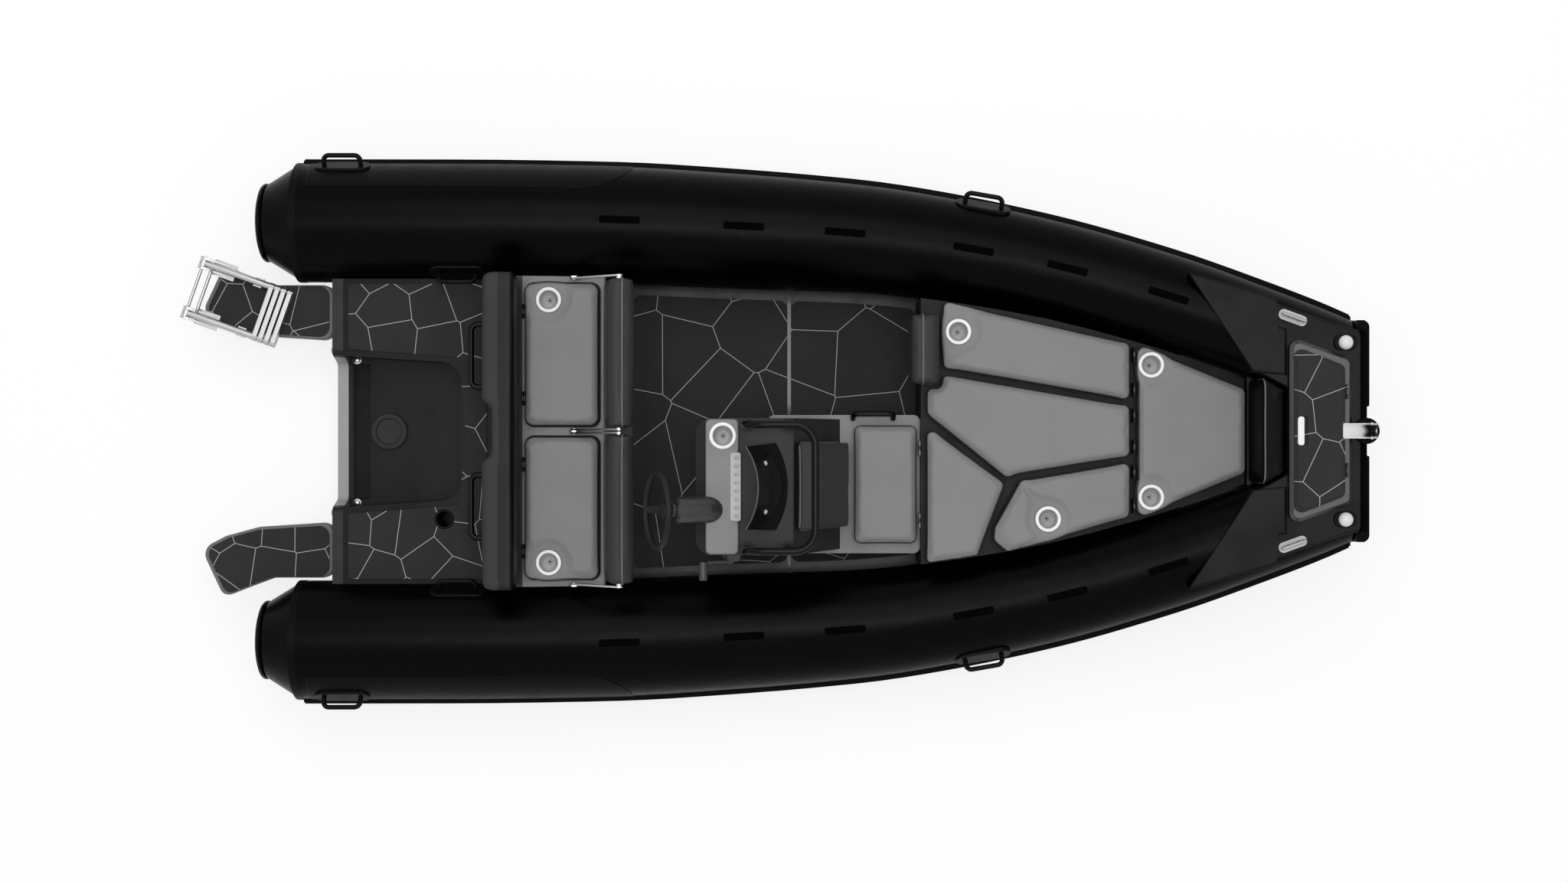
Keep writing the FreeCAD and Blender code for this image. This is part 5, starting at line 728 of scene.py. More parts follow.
NODE_FINISHES: dict[Finish, tuple[str, ...]] = {
    TUBE: ("collar_port", "collar_starboard", "end_caps"),
    STRAP: ("strap_handles",),
    BUMPER: ("rub_rails", "bow_fender"),
    HULL: ("hull",),
    PLATFORM: ("swim_platforms",),
    DARK_DECK: ("aft_deck",),
    SHELL: ("console_shelf", "console_base", "console_lid", "bow_cups"),
    BENCH_SHELL: ("bench_base",),
    SHADE_GAP_SHELL: ("bench_lid_port", "bench_lid_starboard", "bow_lounge", "bow_lid_port",
                 "bow_lid_centre", "bow_lid_starboard"),
    BLACK_SHELL: ("bow_deck",),
    NOSE_SHELL: ("nose_plate",),
    CONSOLE_SHELL: ("console_body",),
    HELM_PLASTIC: ("helm", "throttle"),
    GRIP_PLASTIC: ("grab_handles", "bow_lamps", "bow_roller"),
    HATCH_PLASTIC: ("well_hatch",),
    PALE_PLASTIC: ("switch_panel",),
    LATCH_PLASTIC: ("hatch_latch",),
    PAD: ("deck_pads",),
    HATCH_PAD: ("anchor_hatch",),
    LADDER_STEEL: ("ladder_bracket", "ladder_section_1", "ladder_section_2", "ladder_section_3",
                   "ladder_section_4", "roller_channel"),
    POLISHED: ("flip_arms_port", "flip_arms_starboard", "flip_posts"),
    SATIN: ("deck_fittings",),
    BRUSHED: ("hatch_plinth",),
    BLACK_METAL: ("stern_rails", "console_rails"),
    SCREEN: ("windscreen",),
    WHEEL_GRIP: ("steering_wheel",),
    HINGE: ("lid_hinges",),
    DARK_VINYL: ("stern_coaming", "flip_backrest_port", "flip_backrest_starboard", "fixed_backrests"),
    VINYL: ("bench_cushion_port", "bench_cushion_starboard", "console_cushion", "bow_cushion_port",
            "bow_cushion_centre", "bow_cushion_starboard", "fixed_cushions"),
}


def placed(name: str, data: bpy.types.ID) -> bpy.types.Object:
    """Puts a new object into the scene.

    Args:
        name: Its name.
        data: Its mesh, lamp or camera.

    Returns:
        The object.
    """
    holder = bpy.data.objects.new(name, data)
    bpy.context.collection.objects.link(holder)
    return holder


def evaluated(piece: bpy.types.Object) -> bpy.types.Object:
    """A piece with its modifiers worked out."""
    return piece.evaluated_get(bpy.context.evaluated_depsgraph_get())


def modified(piece: bpy.types.Object, kind: str, **settings: object) -> None:
    """Adds a modifier to a piece.

    Args:
        piece: The piece.
        kind: The modifier's type.
        settings: Its settings.
    """
    modifier = piece.modifiers.new(kind.lower(), kind)
    for key, setting in settings.items():
        setattr(modifier, key, setting)


def applied(piece: bpy.types.Object) -> None:
    """Works a piece's modifiers into its mesh.

    Args:
        piece: The piece.
    """
    mesh = bpy.data.meshes.new_from_object(evaluated(piece))
    mesh.name = piece.name
    piece.modifiers.clear()
    piece.data = mesh


def outward(mesh: bpy.types.Mesh, merge: float = 0.0) -> None:
    """Turns a mesh's faces outwards.

    Args:
        mesh: The mesh.
        merge: Distance under which points are merged first; 0 for none.
    """
    work = bmesh.new()
    work.from_mesh(mesh)
    if merge:
        bmesh.ops.remove_doubles(work, verts=work.verts, dist=merge)
    bmesh.ops.recalc_face_normals(work, faces=work.faces)
    work.to_mesh(mesh)
    work.free()


def rows_of(mesh: bpy.types.Mesh, what: str = "co") -> np.ndarray:
    """Reads a mesh's points.

    Args:
        mesh: The mesh.
        what: co for their places, normal for their normals.

    Returns:
        One row for each point.
    """
    flat = np.empty(len(mesh.vertices) * 3, np.float32)
    mesh.vertices.foreach_get(what, flat)
    return flat.reshape(-1, 3).astype(float)


def unit(rows: np.ndarray) -> np.ndarray:
    """Rows scaled to length 1."""
    return rows / np.maximum(np.linalg.norm(rows, axis=-1, keepdims=True), 1e-12)


def grid_quads(rows: int, columns: int, wrap_rows: bool, wrap_columns: bool) -> np.ndarray:
    """Quads of a grid, where point (i, j) has the number i times columns plus j.

    Args:
        rows: Points along the first parameter.
        columns: Points along the second.
        wrap_rows: Joins the last row to the first.
        wrap_columns: Joins the last column to the first.

    Returns:
        Point numbers, four to a face.
    """
    i = np.arange(rows if wrap_rows else rows - 1)[:, None]
    j = np.arange(columns if wrap_columns else columns - 1)[None, :]
    ahead = (i + 1) % rows
    beside = (j + 1) % columns
    corners = (i * columns + j, ahead * columns + j, ahead * columns + beside, i * columns + beside)
    shape = (i.shape[0], j.shape[1])
    return np.stack([np.broadcast_to(corner, shape) for corner in corners], -1).reshape(-1, 4)


def finished(name: str, points: np.ndarray, faces: "np.ndarray | list", finish: Finish,
             body: str) -> bpy.types.Object:
    """Puts points and faces into a new piece, turns its faces outwards, dresses it and lets it ride.

    Args:
        name: The piece's name.
        points: One row of X, Y and Z for each point.
        faces: Point numbers of each face.
        finish: Its surface.
        body: The model's body that carries it.

    Returns:
        The piece.
    """
    mesh = bpy.data.meshes.new(name)
    mesh.from_pydata(np.asarray(points, float).tolist(), [],
                     faces.tolist() if isinstance(faces, np.ndarray) else faces)
    outward(mesh, DOUBLES)
    mesh.polygons.foreach_set("use_smooth", np.full(len(mesh.polygons), True))
    mesh.update()
    piece = placed(name, mesh)
    dress(piece, finish)
    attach(piece, body)
    return piece


def dress(piece: bpy.types.Object, finish: Finish) -> None:
    """Gives every material slot of a piece one finish.

    Args:
        piece: The piece; a bare one gets a slot.
        finish: Its surface.
    """
    if not piece.material_slots:
        piece.data.materials.append(finish.material())
    for place in piece.material_slots:
        place.material = finish.material()


def evened(path: np.ndarray, spacing: float, closed: bool) -> np.ndarray:
    """Points at an even spacing along a path.

    The length run so far is worked out at each corner, and each coordinate is read off it.

    Args:
        path: Corners of the path.
        spacing: Distance wanted between points.
        closed: Joins the end to the start.

    Returns:
        The new points; a closed path doesn't repeat its first.
    """
    corners = np.vstack([path, path[:1]]) if closed else path
    run = np.concatenate([[0.0], np.cumsum(np.linalg.norm(np.diff(corners, axis=0), axis=1))])
    count = max(4, int(round(run[-1] / spacing)))
    places = np.linspace(0.0, run[-1], count + 1)
    places = places[:-1] if closed else places
    return np.column_stack([np.interp(places, run, corners[:, axis]) for axis in range(3)])


def smoothed(path: np.ndarray, rounds: int, closed: bool) -> np.ndarray:
    """Rounds a path's corners: a point moves half way to the mean of its two neighbours.

    Args:
        path: The path's points.
        rounds: How often it is done.
        closed: Joins the end to the start; the ends of an open path stay.

    Returns:
        The new points.
    """
    for _ in range(rounds):
        around = (np.roll(path, 1, axis=0) + np.roll(path, -1, axis=0) + 2.0 * path) / 4.0
        if not closed:
            around[0], around[-1] = path[0], path[-1]
        path = around
    return path


def swept(name: str, path: np.ndarray, profile: np.ndarray, facing: Facing, finish: Finish, body: str,
          closed: bool = False) -> bpy.types.Object:
    """Carries a closed profile along a path.

    At each point the side is the heading crossed with the facing, the lift is the side crossed with
    the heading, and the ring is the point plus side times the profile's first number plus lift times
    its second. Open ends are closed by a fan round the ring's middle.

    Args:
        name: The piece's name.
        path: Points that it follows.
        profile: Closed outline, as side and lift, in metres.
        facing: Way that the lift leans.
        finish: Its surface.
        body: Body that carries it.
        closed: The path is a loop.

    Returns:
        The piece.
    """
    if closed:
        heading = unit(np.roll(path, -1, axis=0) - np.roll(path, 1, axis=0))
    else:
        heading = unit(np.gradient(path, axis=0))
    side = unit(np.cross(heading, facing.value))
    lift = np.cross(side, heading)
    rings = path[:, None] + side[:, None] * profile[None, :, :1] + lift[:, None] * profile[None, :, 1:]
    rows, columns = rings.shape[:2]
    points = rings.reshape(-1, 3)
    faces = grid_quads(rows, columns, closed, True)
    if not closed:
        middles = rings[[0, -1]].mean(axis=1)
        points = np.vstack([points, middles])
        j = np.arange(columns)
        nearest = np.column_stack([j, (j + 1) % columns, np.full(columns, rows * columns)])
        caps = np.vstack([nearest, nearest + [(rows - 1) * columns, (rows - 1) * columns, 1]])
        return finished(name, points, faces.tolist() + caps.tolist(), finish, body)
    return finished(name, points, faces, finish, body)


def round_profile(radius: float, sides: int) -> np.ndarray:
    """A circle: radius times the sine and cosine of even turns."""
    turn = np.linspace(0.0, math.tau, sides, endpoint=False)
    return radius * np.column_stack([np.sin(turn), np.cos(turn)])


def strip_profile(width: float, thickness: float, crown: float) -> np.ndarray:
    """A flat strip with rounded edges: a squared-off ellipse, |sine| and |cosine| to the power crown.

    Args:
        width: Size across.
        thickness: Size upwards.
        crown: 1 for an ellipse, towards 0 for a rectangle.

    Returns:
        The outline, as side and lift.
    """
    turn = np.linspace(0.0, math.tau, STRIP_POINTS, endpoint=False)
    across = np.sign(np.sin(turn)) * np.abs(np.sin(turn)) ** crown * width / 2.0
    above = np.sign(np.cos(turn)) * np.abs(np.cos(turn)) ** crown * thickness / 2.0
    return np.column_stack([across, above])


def turned_form(profile: np.ndarray, sides: int) -> tuple[np.ndarray, np.ndarray]:
    """Turns a profile about Z: radius times cosine, radius times sine, and height.

    Args:
        profile: Radius and height of each point, from pole to pole or as a closed ring.
        sides: Points round the axis.

    Returns:
        Points and faces.
    """
    turn = np.linspace(0.0, math.tau, sides, endpoint=False)[None, :]
    radius, height = profile[:, :1], profile[:, 1:]
    points = np.stack([radius * np.cos(turn), radius * np.sin(turn), height + 0.0 * turn], -1)
    ring = bool(profile[0, 0] > DOUBLES)
    return points.reshape(-1, 3), grid_quads(len(profile), sides, ring, True)


def repeated(name: str, profile: np.ndarray, sides: int, places: np.ndarray, finish: Finish,
             body: str) -> bpy.types.Object:
    """One upright turned form set at many places, as a single piece.

    Each copy is the form's points plus its place.

    Args:
        name: The piece's name.
        profile: Radius and height of the form.
        sides: Points round each copy.
        places: One row of X, Y and Z for each copy.
        finish: Its surface.
        body: Body that carries it.

    Returns:
        The piece.
    """
    form, faces = turned_form(np.asarray(profile, float), sides)
    spots = np.atleast_2d(np.asarray(places, float))
    points = form[None] + spots[:, None]
    shifts = np.arange(len(spots))[:, None, None] * len(form)
    return finished(name, points.reshape(-1, 3), (faces[None] + shifts).reshape(-1, 4), finish, body)


def mirrored_places(places: np.ndarray) -> np.ndarray:
    """The places and their mirror images across the middle of the boat."""
    places = np.atleast_2d(np.asarray(places, float))
    return np.vstack([places, places * (1.0, -1.0, 1.0)])


def probed(points: np.ndarray, target: bpy.types.Object, **settings: object) -> np.ndarray:
    """Where loose points come to lie when a Shrinkwrap modifier takes them to a piece.

    Args:
        points: The points.
        target: The piece.
        settings: The modifier's settings.

    Returns:
        The moved points.
    """
    mesh = bpy.data.meshes.new("probe")
    mesh.from_pydata(points.tolist(), [], [])
    probe = placed("probe", mesh)
    modified(probe, "SHRINKWRAP", target=target, **settings)
    found = rows_of(evaluated(probe).data)
    bpy.data.objects.remove(probe)
    return found


def settled(path: np.ndarray, target: bpy.types.Object, lift: float, closed: bool) -> np.ndarray:
    """Draws a path onto a piece's skin: each point goes to the nearest place of it, and is lifted.

    Args:
        path: Points near the skin.
        target: The piece.
        lift: Height above the skin.
        closed: The path is a loop, so that it's smoothed all round.

    Returns:
        The points on the skin.
    """
    return smoothed(probed(path, target, wrap_method="NEAREST_SURFACEPOINT", wrap_mode="ABOVE_SURFACE",
                           offset=lift), 2, closed)


def heights(node: str, points: np.ndarray) -> np.ndarray:
    """Height of a model node's upper skin, found by dropping points onto it from above.

    Args:
        node: The node.
        points: Rows that start with X and Y.

    Returns:
        The heights, 0 where the node isn't under a point.
    """
    start = np.column_stack([points[:, :2], np.full(len(points), SKY)])
    found = probed(start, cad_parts[node], wrap_method="PROJECT", use_project_z=True,
                   use_positive_direction=False, use_negative_direction=True)
    return np.where(found[:, 2] > MISSED, 0.0, found[:, 2])


def on_top(node: str, points: np.ndarray) -> np.ndarray:
    """Places on a model node's upper skin, from rows that start with X and Y."""
    return np.column_stack([points[:, :2], heights(node, points)])


def slab(name: str, top: np.ndarray, under: np.ndarray, finish: Finish, body: str) -> bpy.types.Object:
    """A closed plate between two grids of points, joined all round their border.

    Args:
        name: The piece's name.
        top: Upper grid, as rows by columns by three.
        under: Lower grid of the same size.
        finish: Its surface.
        body: Body that carries it.

    Returns:
        The piece.
    """
    rows, columns = top.shape[:2]
    count = rows * columns
    grid = np.arange(count).reshape(rows, columns)
    sheet = grid_quads(rows, columns, False, False)
    border = np.concatenate([grid[0, :-1], grid[:-1, -1], grid[-1, :0:-1], grid[:0:-1, 0]])
    ahead = np.roll(border, -1)
    walls = np.column_stack([border, ahead, ahead + count, border + count])
    points = np.vstack([top.reshape(-1, 3), under.reshape(-1, 3)])
    return finished(name, points, np.vstack([sheet, sheet + count, walls]), finish, body)


@dataclass
class Padding:
    """Upholstery over one solid of a soft node: foam that fills its cover and crowns it.

    The node's mesh is copied, remeshed evenly, drawn in, and blown up by a cloth with pressure. How far a
    point may then move is capped, and fades to nothing round the drink holders.
    """

    node: str
    body: str
    finish: Finish
    name: str
    span: tuple[float, float] = (-1.0, 9.0)
    cups: tuple[Triple, ...] = ()
    voxel: float = 0.0075
    drawn_in: float = 0.003
    crown: float = 0.011
    bulge: float = 0.004
    flat_base: bool = True
    rounding: float = 0.012
    pressure: float = 4.0
    steps: int = 20
    quality: int = 4
    fill: float = 0.9
    cup_clear: float = 0.072
    cup_flat: float = 0.062
    cup_fade: float = 0.09
    rim_slack: float = 0.0006
    merge: float = 1e-5
    piping_at: "float | None" = None
    lean: float = 0.0

    def core(self) -> bpy.types.Object:
        """Copies this pad's solid out of the node and remeshes it evenly.

        Returns:
            The solid, as a piece of its own.
        """
        work = bmesh.new()
        work.from_mesh(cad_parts[self.node].data)
        bmesh.ops.remove_doubles(work, verts=work.verts, dist=self.merge)
        other = [one for one in work.verts if not self.span[0] < one.co.x < self.span[1]]
        bmesh.ops.delete(work, geom=other, context="VERTS")
        mesh = bpy.data.meshes.new(self.name)
        work.to_mesh(mesh)
        work.free()
        piece = placed(self.name, mesh)
        modified(piece, "REMESH", mode="VOXEL", voxel_size=self.voxel, use_smooth_shade=True)
        modified(piece, "SMOOTH", factor=0.5, iterations=3)
        applied(piece)
        return piece

    def rim(self) -> np.ndarray:
        """Outline of the solid where its upright sides meet the rounding of its top.

        Its points are those that lie the rounding's radius under the greatest height, away from the
        drink holders, in order of their angle round the middle.

        Returns:
            The outline's points.
        """
        points = rows_of(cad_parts[self.node].data)
        points = points[(points[:, 0] > self.span[0]) & (points[:, 0] < self.span[1])]
        points = points[np.abs(points[:, 2] - points[:, 2].max() + self.rounding) < self.rim_slack]
        for cup in self.cups:
            points = points[np.linalg.norm(points[:, :2] - cup[:2], axis=1) > self.cup_clear]
        middle = (points.min(axis=0) + points.max(axis=0)) / 2.0
        turn = np.arctan2(points[:, 1] - middle[1], points[:, 0] - middle[0])
        return points[np.argsort(turn)]

    def fade(self, points: np.ndarray) -> np.ndarray:
        """Share of the crown at each point, a smooth step outwards from each drink holder.

        Args:
            points: The pad's points.

        Returns:
            0 beside a drink holder, rising to 1 further out.
        """
        share = np.ones(len(points))
        for cup in self.cups:
            away = np.linalg.norm(points[:, :2] - np.asarray(cup[:2]), axis=1)
            share = np.minimum(share, np.clip((away - self.cup_flat) / self.cup_fade, 0.0, 1.0))
        return share * share * (3.0 - 2.0 * share)

    def blown(self, piece: bpy.types.Object, start: np.ndarray) -> np.ndarray:
        """Fills the cover out.

        Args:
            piece: The pad, drawn in.
            start: Its points.

        Returns:
            Where each point is after the cloth has filled out.
        """
        cloth = piece.modifiers.new("cover", "CLOTH")
        cloth.settings.use_pressure = True
        cloth.settings.uniform_pressure_force = self.pressure
        cloth.settings.effector_weights.gravity = 0.0
        cloth.settings.quality = self.quality
        cloth.point_cache.frame_start, cloth.point_cache.frame_end = 1, self.steps
        for step in range(1, self.steps + 1):
            bpy.context.scene.frame_set(step)
        after = rows_of(evaluated(piece).data)
        piece.modifiers.clear()
        bpy.context.scene.frame_set(1)
        return after if after.shape == start.shape else start

    def build(self) -> bpy.types.Object:
        """Makes the pad in place of its solid.

        A point's move is the cloth's, capped to the crown upwards and to the bulge sideways.

        Returns:
            The pad.
        """
        piece = self.core()
        full = rows_of(piece.data)
        inward = rows_of(piece.data, "normal") * self.drawn_in
        if self.flat_base:
            inward[:, 2] = np.maximum(inward[:, 2], 0.0)
        start = full - inward
        piece.data.vertices.foreach_set("co", start.astype(np.float32).ravel())
        piece.data.update()
        after = self.blown(piece, start)
        share = self.fade(start)[:, None]
        move = (after - start) * share + (1.0 - share) * inward
        side = np.linalg.norm(move[:, :2], axis=1, keepdims=True)
        move[:, :2] *= np.minimum(1.0, (self.bulge + self.drawn_in) / np.maximum(side, 1e-9))
        floor = 0.0 if self.flat_base else -self.bulge
        move[:, 2] = np.clip(move[:, 2], floor, self.crown + self.drawn_in)
        piece.data.vertices.foreach_set("co", (start + move).astype(np.float32).ravel())
        modified(piece, "SMOOTH", factor=0.5, iterations=2)
        applied(piece)
        piece.data.polygons.foreach_set("use_smooth", np.full(len(piece.data.polygons), True))
        piece.data.materials.clear()
        dress(piece, self.finish)
        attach(piece, self.body)
        LOG.info("%s: %d faces", self.name, len(piece.data.polygons))
        return piece


@dataclass
class Seating:
    """Every padded part: cushions on the lids, fixed cushions, backrests and the stern coaming."""

    piping: float = 0.0034
    piping_sides: int = 8
    spacing: float = 0.011
    stand: float = 0.30
    bar_stand: float = 0.35
    bar_corner: float = 0.03
    seat_rounding: float = 0.015
    peak_rounding: float = 0.0075
    crease: tuple[float, float, float] = (0.742 + 0.140 * 0.51, 0.66, 0.770)
    crease_step: tuple[float, float, float] = (0.012, 0.15, 0.11)

    def cushions(self) -> list[Padding]:
        """The pads that lie flat on a lid or a seat.

        Returns:
            The pads, from the stern to the bow.
        """
        bench = [Padding(f"bench_cushion_{side.label}", f"bench_{side.label}", VINYL,
                         f"bench_pad_{side.label}", cups=(HolderPlaces.bench(side),),
                         rounding=self.seat_rounding) for side in Side]
        cups = {"port": (HolderPlaces.lounge_port,), "centre": (),
                "starboard": (HolderPlaces.lounge_starboard,)}
        lounge = [Padding(f"bow_cushion_{place}", f"bow_{place}", VINYL, f"lounge_pad_{place}", cups=holders)
                  for place, holders in cups.items()]
        return [*bench,
                Padding("console_cushion", "console_seat", VINYL, "console_seat_pad",
                        rounding=self.seat_rounding),
                *lounge,
                Padding("fixed_cushions", "boat", VINYL, "lounge_pad_aft", span=(2.6, 3.4)),
                Padding("fixed_cushions", "boat", VINYL, "peak_pad", span=(3.5, 4.4),
                        cups=HolderPlaces.peak, rounding=self.peak_rounding)]

    def backrests(self) -> list[Padding]:
        """The upright pads and the bars of the flip-over backrests.

        Returns:
            The pads; those with piping of their own have its place and lean.
        """
        upright = dict(flat_base=False, crown=0.004, bulge=0.003)
        flips = [Padding(f"flip_backrest_{side.label}", f"flip_{side.label}", DARK_VINYL,
                         f"flip_pad_{side.label}", piping_at=0.64, **upright) for side in Side]
        fixed = [Padding("fixed_backrests", "boat", finish, name, span=span, piping_at=share, lean=lean,
                         **upright)
                 for name, finish, span, share, lean in (
                     ("console_back_pad", DARK_VINYL, (2.0, 2.5), 0.20, 0.42),
                     ("lounge_bolster_pad", DARK_VINYL, (2.6, 2.9), 0.42, 0.0),
                     ("bow_rest_pad", BLACK_VINYL, (4.1, 4.4), 0.25, 0.0))]
        return [*flips, *fixed, Padding("stern_coaming", "boat", COAMING_VINYL, "stern_coaming_pad",
                                        voxel=0.010, **upright)]

    def cord(self, name: str, path: np.ndarray, facing: Facing, finish: Finish, body: str,
             closed: bool = True) -> None:
        """Makes one run of piping.

        Args:
            name: The piece's name.
            path: Its middle line.
            facing: Way that its seam looks.
            finish: Its cover.
            body: Body that carries it.
            closed: The path is a loop.
        """
        swept(name, path, round_profile(self.piping, self.piping_sides), facing, finish, body, closed)

    def edge_piping(self, pad: Padding, piece: bpy.types.Object) -> None:
        """Sews piping round the top edge of a cushion.

        Args:
            pad: The cushion.
            piece: Its finished pad.
        """
        rim = evened(pad.rim(), self.spacing, True)
        path = settled(smoothed(rim, 3, True), piece, self.piping * self.stand, True)
        self.cord(pad.name + "_piping", path, Facing.UP, CORD, pad.body)

    def loop(self, x: float, low: Triple, high: Triple, lean: float) -> np.ndarray:
        """A rounded rectangle that stands across the boat.

        Its corners are rounded by smoothing, and X leans forward by lean for each metre down from
        the top.

        Args:
            x: Place of its top along the boat.
            low: Lowest corner of the bar's box.
            high: Highest corner.
            lean: How far it leans.

        Returns:
            The loop's points.
        """
        corners = np.array([(x, low[1], high[2]), (x, high[1], high[2]), (x, high[1], low[2]),
                            (x, low[1], low[2])])
        rounds = int(self.bar_corner / self.spacing * 4)
        path = smoothed(evened(corners, self.spacing, True), rounds, True)
        path[:, 0] += (high[2] - path[:, 2]) * lean
        return path

    def bar_piping(self, pad: Padding, piece: bpy.types.Object) -> None:
        """Sews a loop of pale piping round a bar, at a share of its depth from its aft face.

        Args:
            pad: The bar, with its piping's place and lean.
            piece: Its finished pad.
        """
        corners = np.array([piece.matrix_world @ Vector(corner) for corner in piece.bound_box])
        low, high = corners.min(axis=0), corners.max(axis=0)
        depth = high[0] - low[0] - abs(pad.lean) * (high[2] - low[2])
        path = self.loop(low[0] + depth * pad.piping_at, low, high, pad.lean)
        path = settled(path, piece, self.piping * self.bar_stand, True)
        self.cord(f"{pad.name}_piping_1", path, Facing.FORWARD, PALE_CORD, pad.body)

    def coaming_piping(self, piece: bpy.types.Object) -> None:
        """Sews piping along the crease of the stern coaming, which steps forward behind the motor.

        Args:
            piece: The finished coaming.
        """
        x, half, top = self.crease
        step, outer, inner = self.crease_step
        side = np.array([(x, half, top), (x, outer, top), (x + step, inner, top)])
        line = np.vstack([side * (1.0, -1.0, 1.0), side[::-1]])
        path = smoothed(evened(line, self.spacing, False), 2, False)
        path = settled(path, piece, self.piping * self.stand, False)
        self.cord("stern_coaming_piping", path, Facing.UP, DARK_VINYL, "boat", False)

    def build(self) -> None:
        """Makes every pad and its piping, and stands them in for the nodes."""
        for pad in self.cushions():
            piece = pad.build()
            self.edge_piping(pad, piece)
            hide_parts(pad.node)
        for pad in self.backrests():
            piece = pad.build()
            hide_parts(pad.node)
            if pad.piping_at is None:
                self.coaming_piping(piece)
            else:
                self.bar_piping(pad, piece)


@dataclass(frozen=True)
class SeatTop:
    """A moulded seat that drink holders stand in: its aft edge, length, half width and height."""

    aft: float
    length: float
    half: float
    top: float

    def place(self, ahead: float, out: float) -> Triple:
        """A holder's middle, at shares of the seat's length and of its half width."""
        return (self.aft + ahead * self.length, out * self.half, self.top)


class HolderPlaces:
    """Middles of the drink holders, at the top of what they stand in."""

    lounge = SeatTop(2.733, 0.937, 0.613, 0.591)
    bow = SeatTop(3.695, 0.499, 0.401, 0.591)
    lounge_port = lounge.place(0.16, 0.737)
    lounge_starboard = lounge.place(0.595, -0.651)
    peak = (bow.place(0.128, 0.75), bow.place(0.128, -0.75))
    shelf = (1.705 + 0.120, -0.243 + 0.221, 1.0263)
    lid = (0.845 + 0.054 + 0.115, 0.601, 0.5209)

    @classmethod
    def bench(cls, side: Side) -> Triple:
        """The drink holder of one bench lid."""
        return (cls.lid[0], side.value * cls.lid[1], cls.lid[2])


@dataclass
class DrinkHolders:
    """A pale rim and a grey liner in each drink holder."""

    bore: float = 0.045
    flange: float = 0.058
    depth: float = 0.074
    rise: float = 0.004

    def rim(self) -> np.ndarray:
        """Ring laid over the flange.

        Returns:
            Its closed, rounded profile, as radius and height.
        """
        inner, outer, high = self.bore - 0.0015, self.flange + 0.0004, self.rise
        return np.array([(inner, high - 0.006), (inner, high + 0.0012), (inner + 0.0012, high + 0.0024),
                         (outer - 0.003, high + 0.0024), (outer, high + 0.0006), (outer, high * 0.1),
                         (outer - 0.0012, high * 0.1), (outer - 0.002, high + 0.0002),
                         (inner + 0.003, high + 0.0002), (inner + 0.0012, high - 0.006)])

    def liner(self) -> np.ndarray:
        """Thin cup from its middle out to its wall and back: floor with a raised step, then the wall.

        Returns:
            Its profile, as radius and height.
        """
        wall, floor = self.bore - 0.0008, self.rise - self.depth
        return np.array([(0.0, floor + 0.0028), (0.005, floor + 0.0028), (0.0055, floor + 0.0014),
                         (0.030, floor + 0.0014), (0.032, floor + 0.0034), (wall - 0.006, floor + 0.0034),
                         (wall - 0.002, floor + 0.006), (wall - 0.0012, self.rise - 0.005),
                         (wall, self.rise - 0.005), (wall, floor + 0.0006), (0.0, floor + 0.0006)])

    def drain(self) -> np.ndarray:
        """Small dark drain in the floor.

        Returns:
            Its profile, as radius and height.
        """
        floor = self.rise - self.depth + 0.003
        return np.array([(0.0, floor + 0.0006), (0.0034, floor + 0.0006), (0.0042, floor),
                         (0.0, floor - 0.001)])

    def build(self) -> None:
        """Fits every holder, on the body that carries it."""
        groups = {f"bench_{side.label}": [HolderPlaces.bench(side)] for side in Side}
        groups |= {"bow_port": [HolderPlaces.lounge_port], "bow_starboard": [HolderPlaces.lounge_starboard],
                   "boat": [*HolderPlaces.peak, HolderPlaces.shelf]}
        forms = (("rims", self.rim(), 64, RING), ("liners", self.liner(), 48, LINER),
                 ("drains", self.drain(), 16, GRIP_PLASTIC))
        for body, places in groups.items():
            for what, profile, sides, finish in forms:
                repeated(f"cup_{what}_{body}", profile, sides, np.array(places), finish, body)
        LOG.info("drink holders: %d", sum(len(places) for places in groups.values()))


def dome(radius: float, rise: float, collar: float) -> np.ndarray:
    """Profile of a domed head: a quarter ellipse on a washer.

    Args:
        radius: Radius of the head.
        rise: Its height.
        collar: How much wider the washer is.

    Returns:
        Radius and height of each point.
    """
    turn = np.linspace(0.0, math.pi / 2.0, DOME_POINTS)
    crown = np.column_stack([radius * np.sin(turn), rise * np.cos(turn)])
    wide = radius + collar
    return np.vstack([crown, [(wide - 0.0006, 0.0012), (wide, 0.0004), (wide, -0.002), (0.0, -0.002)]])


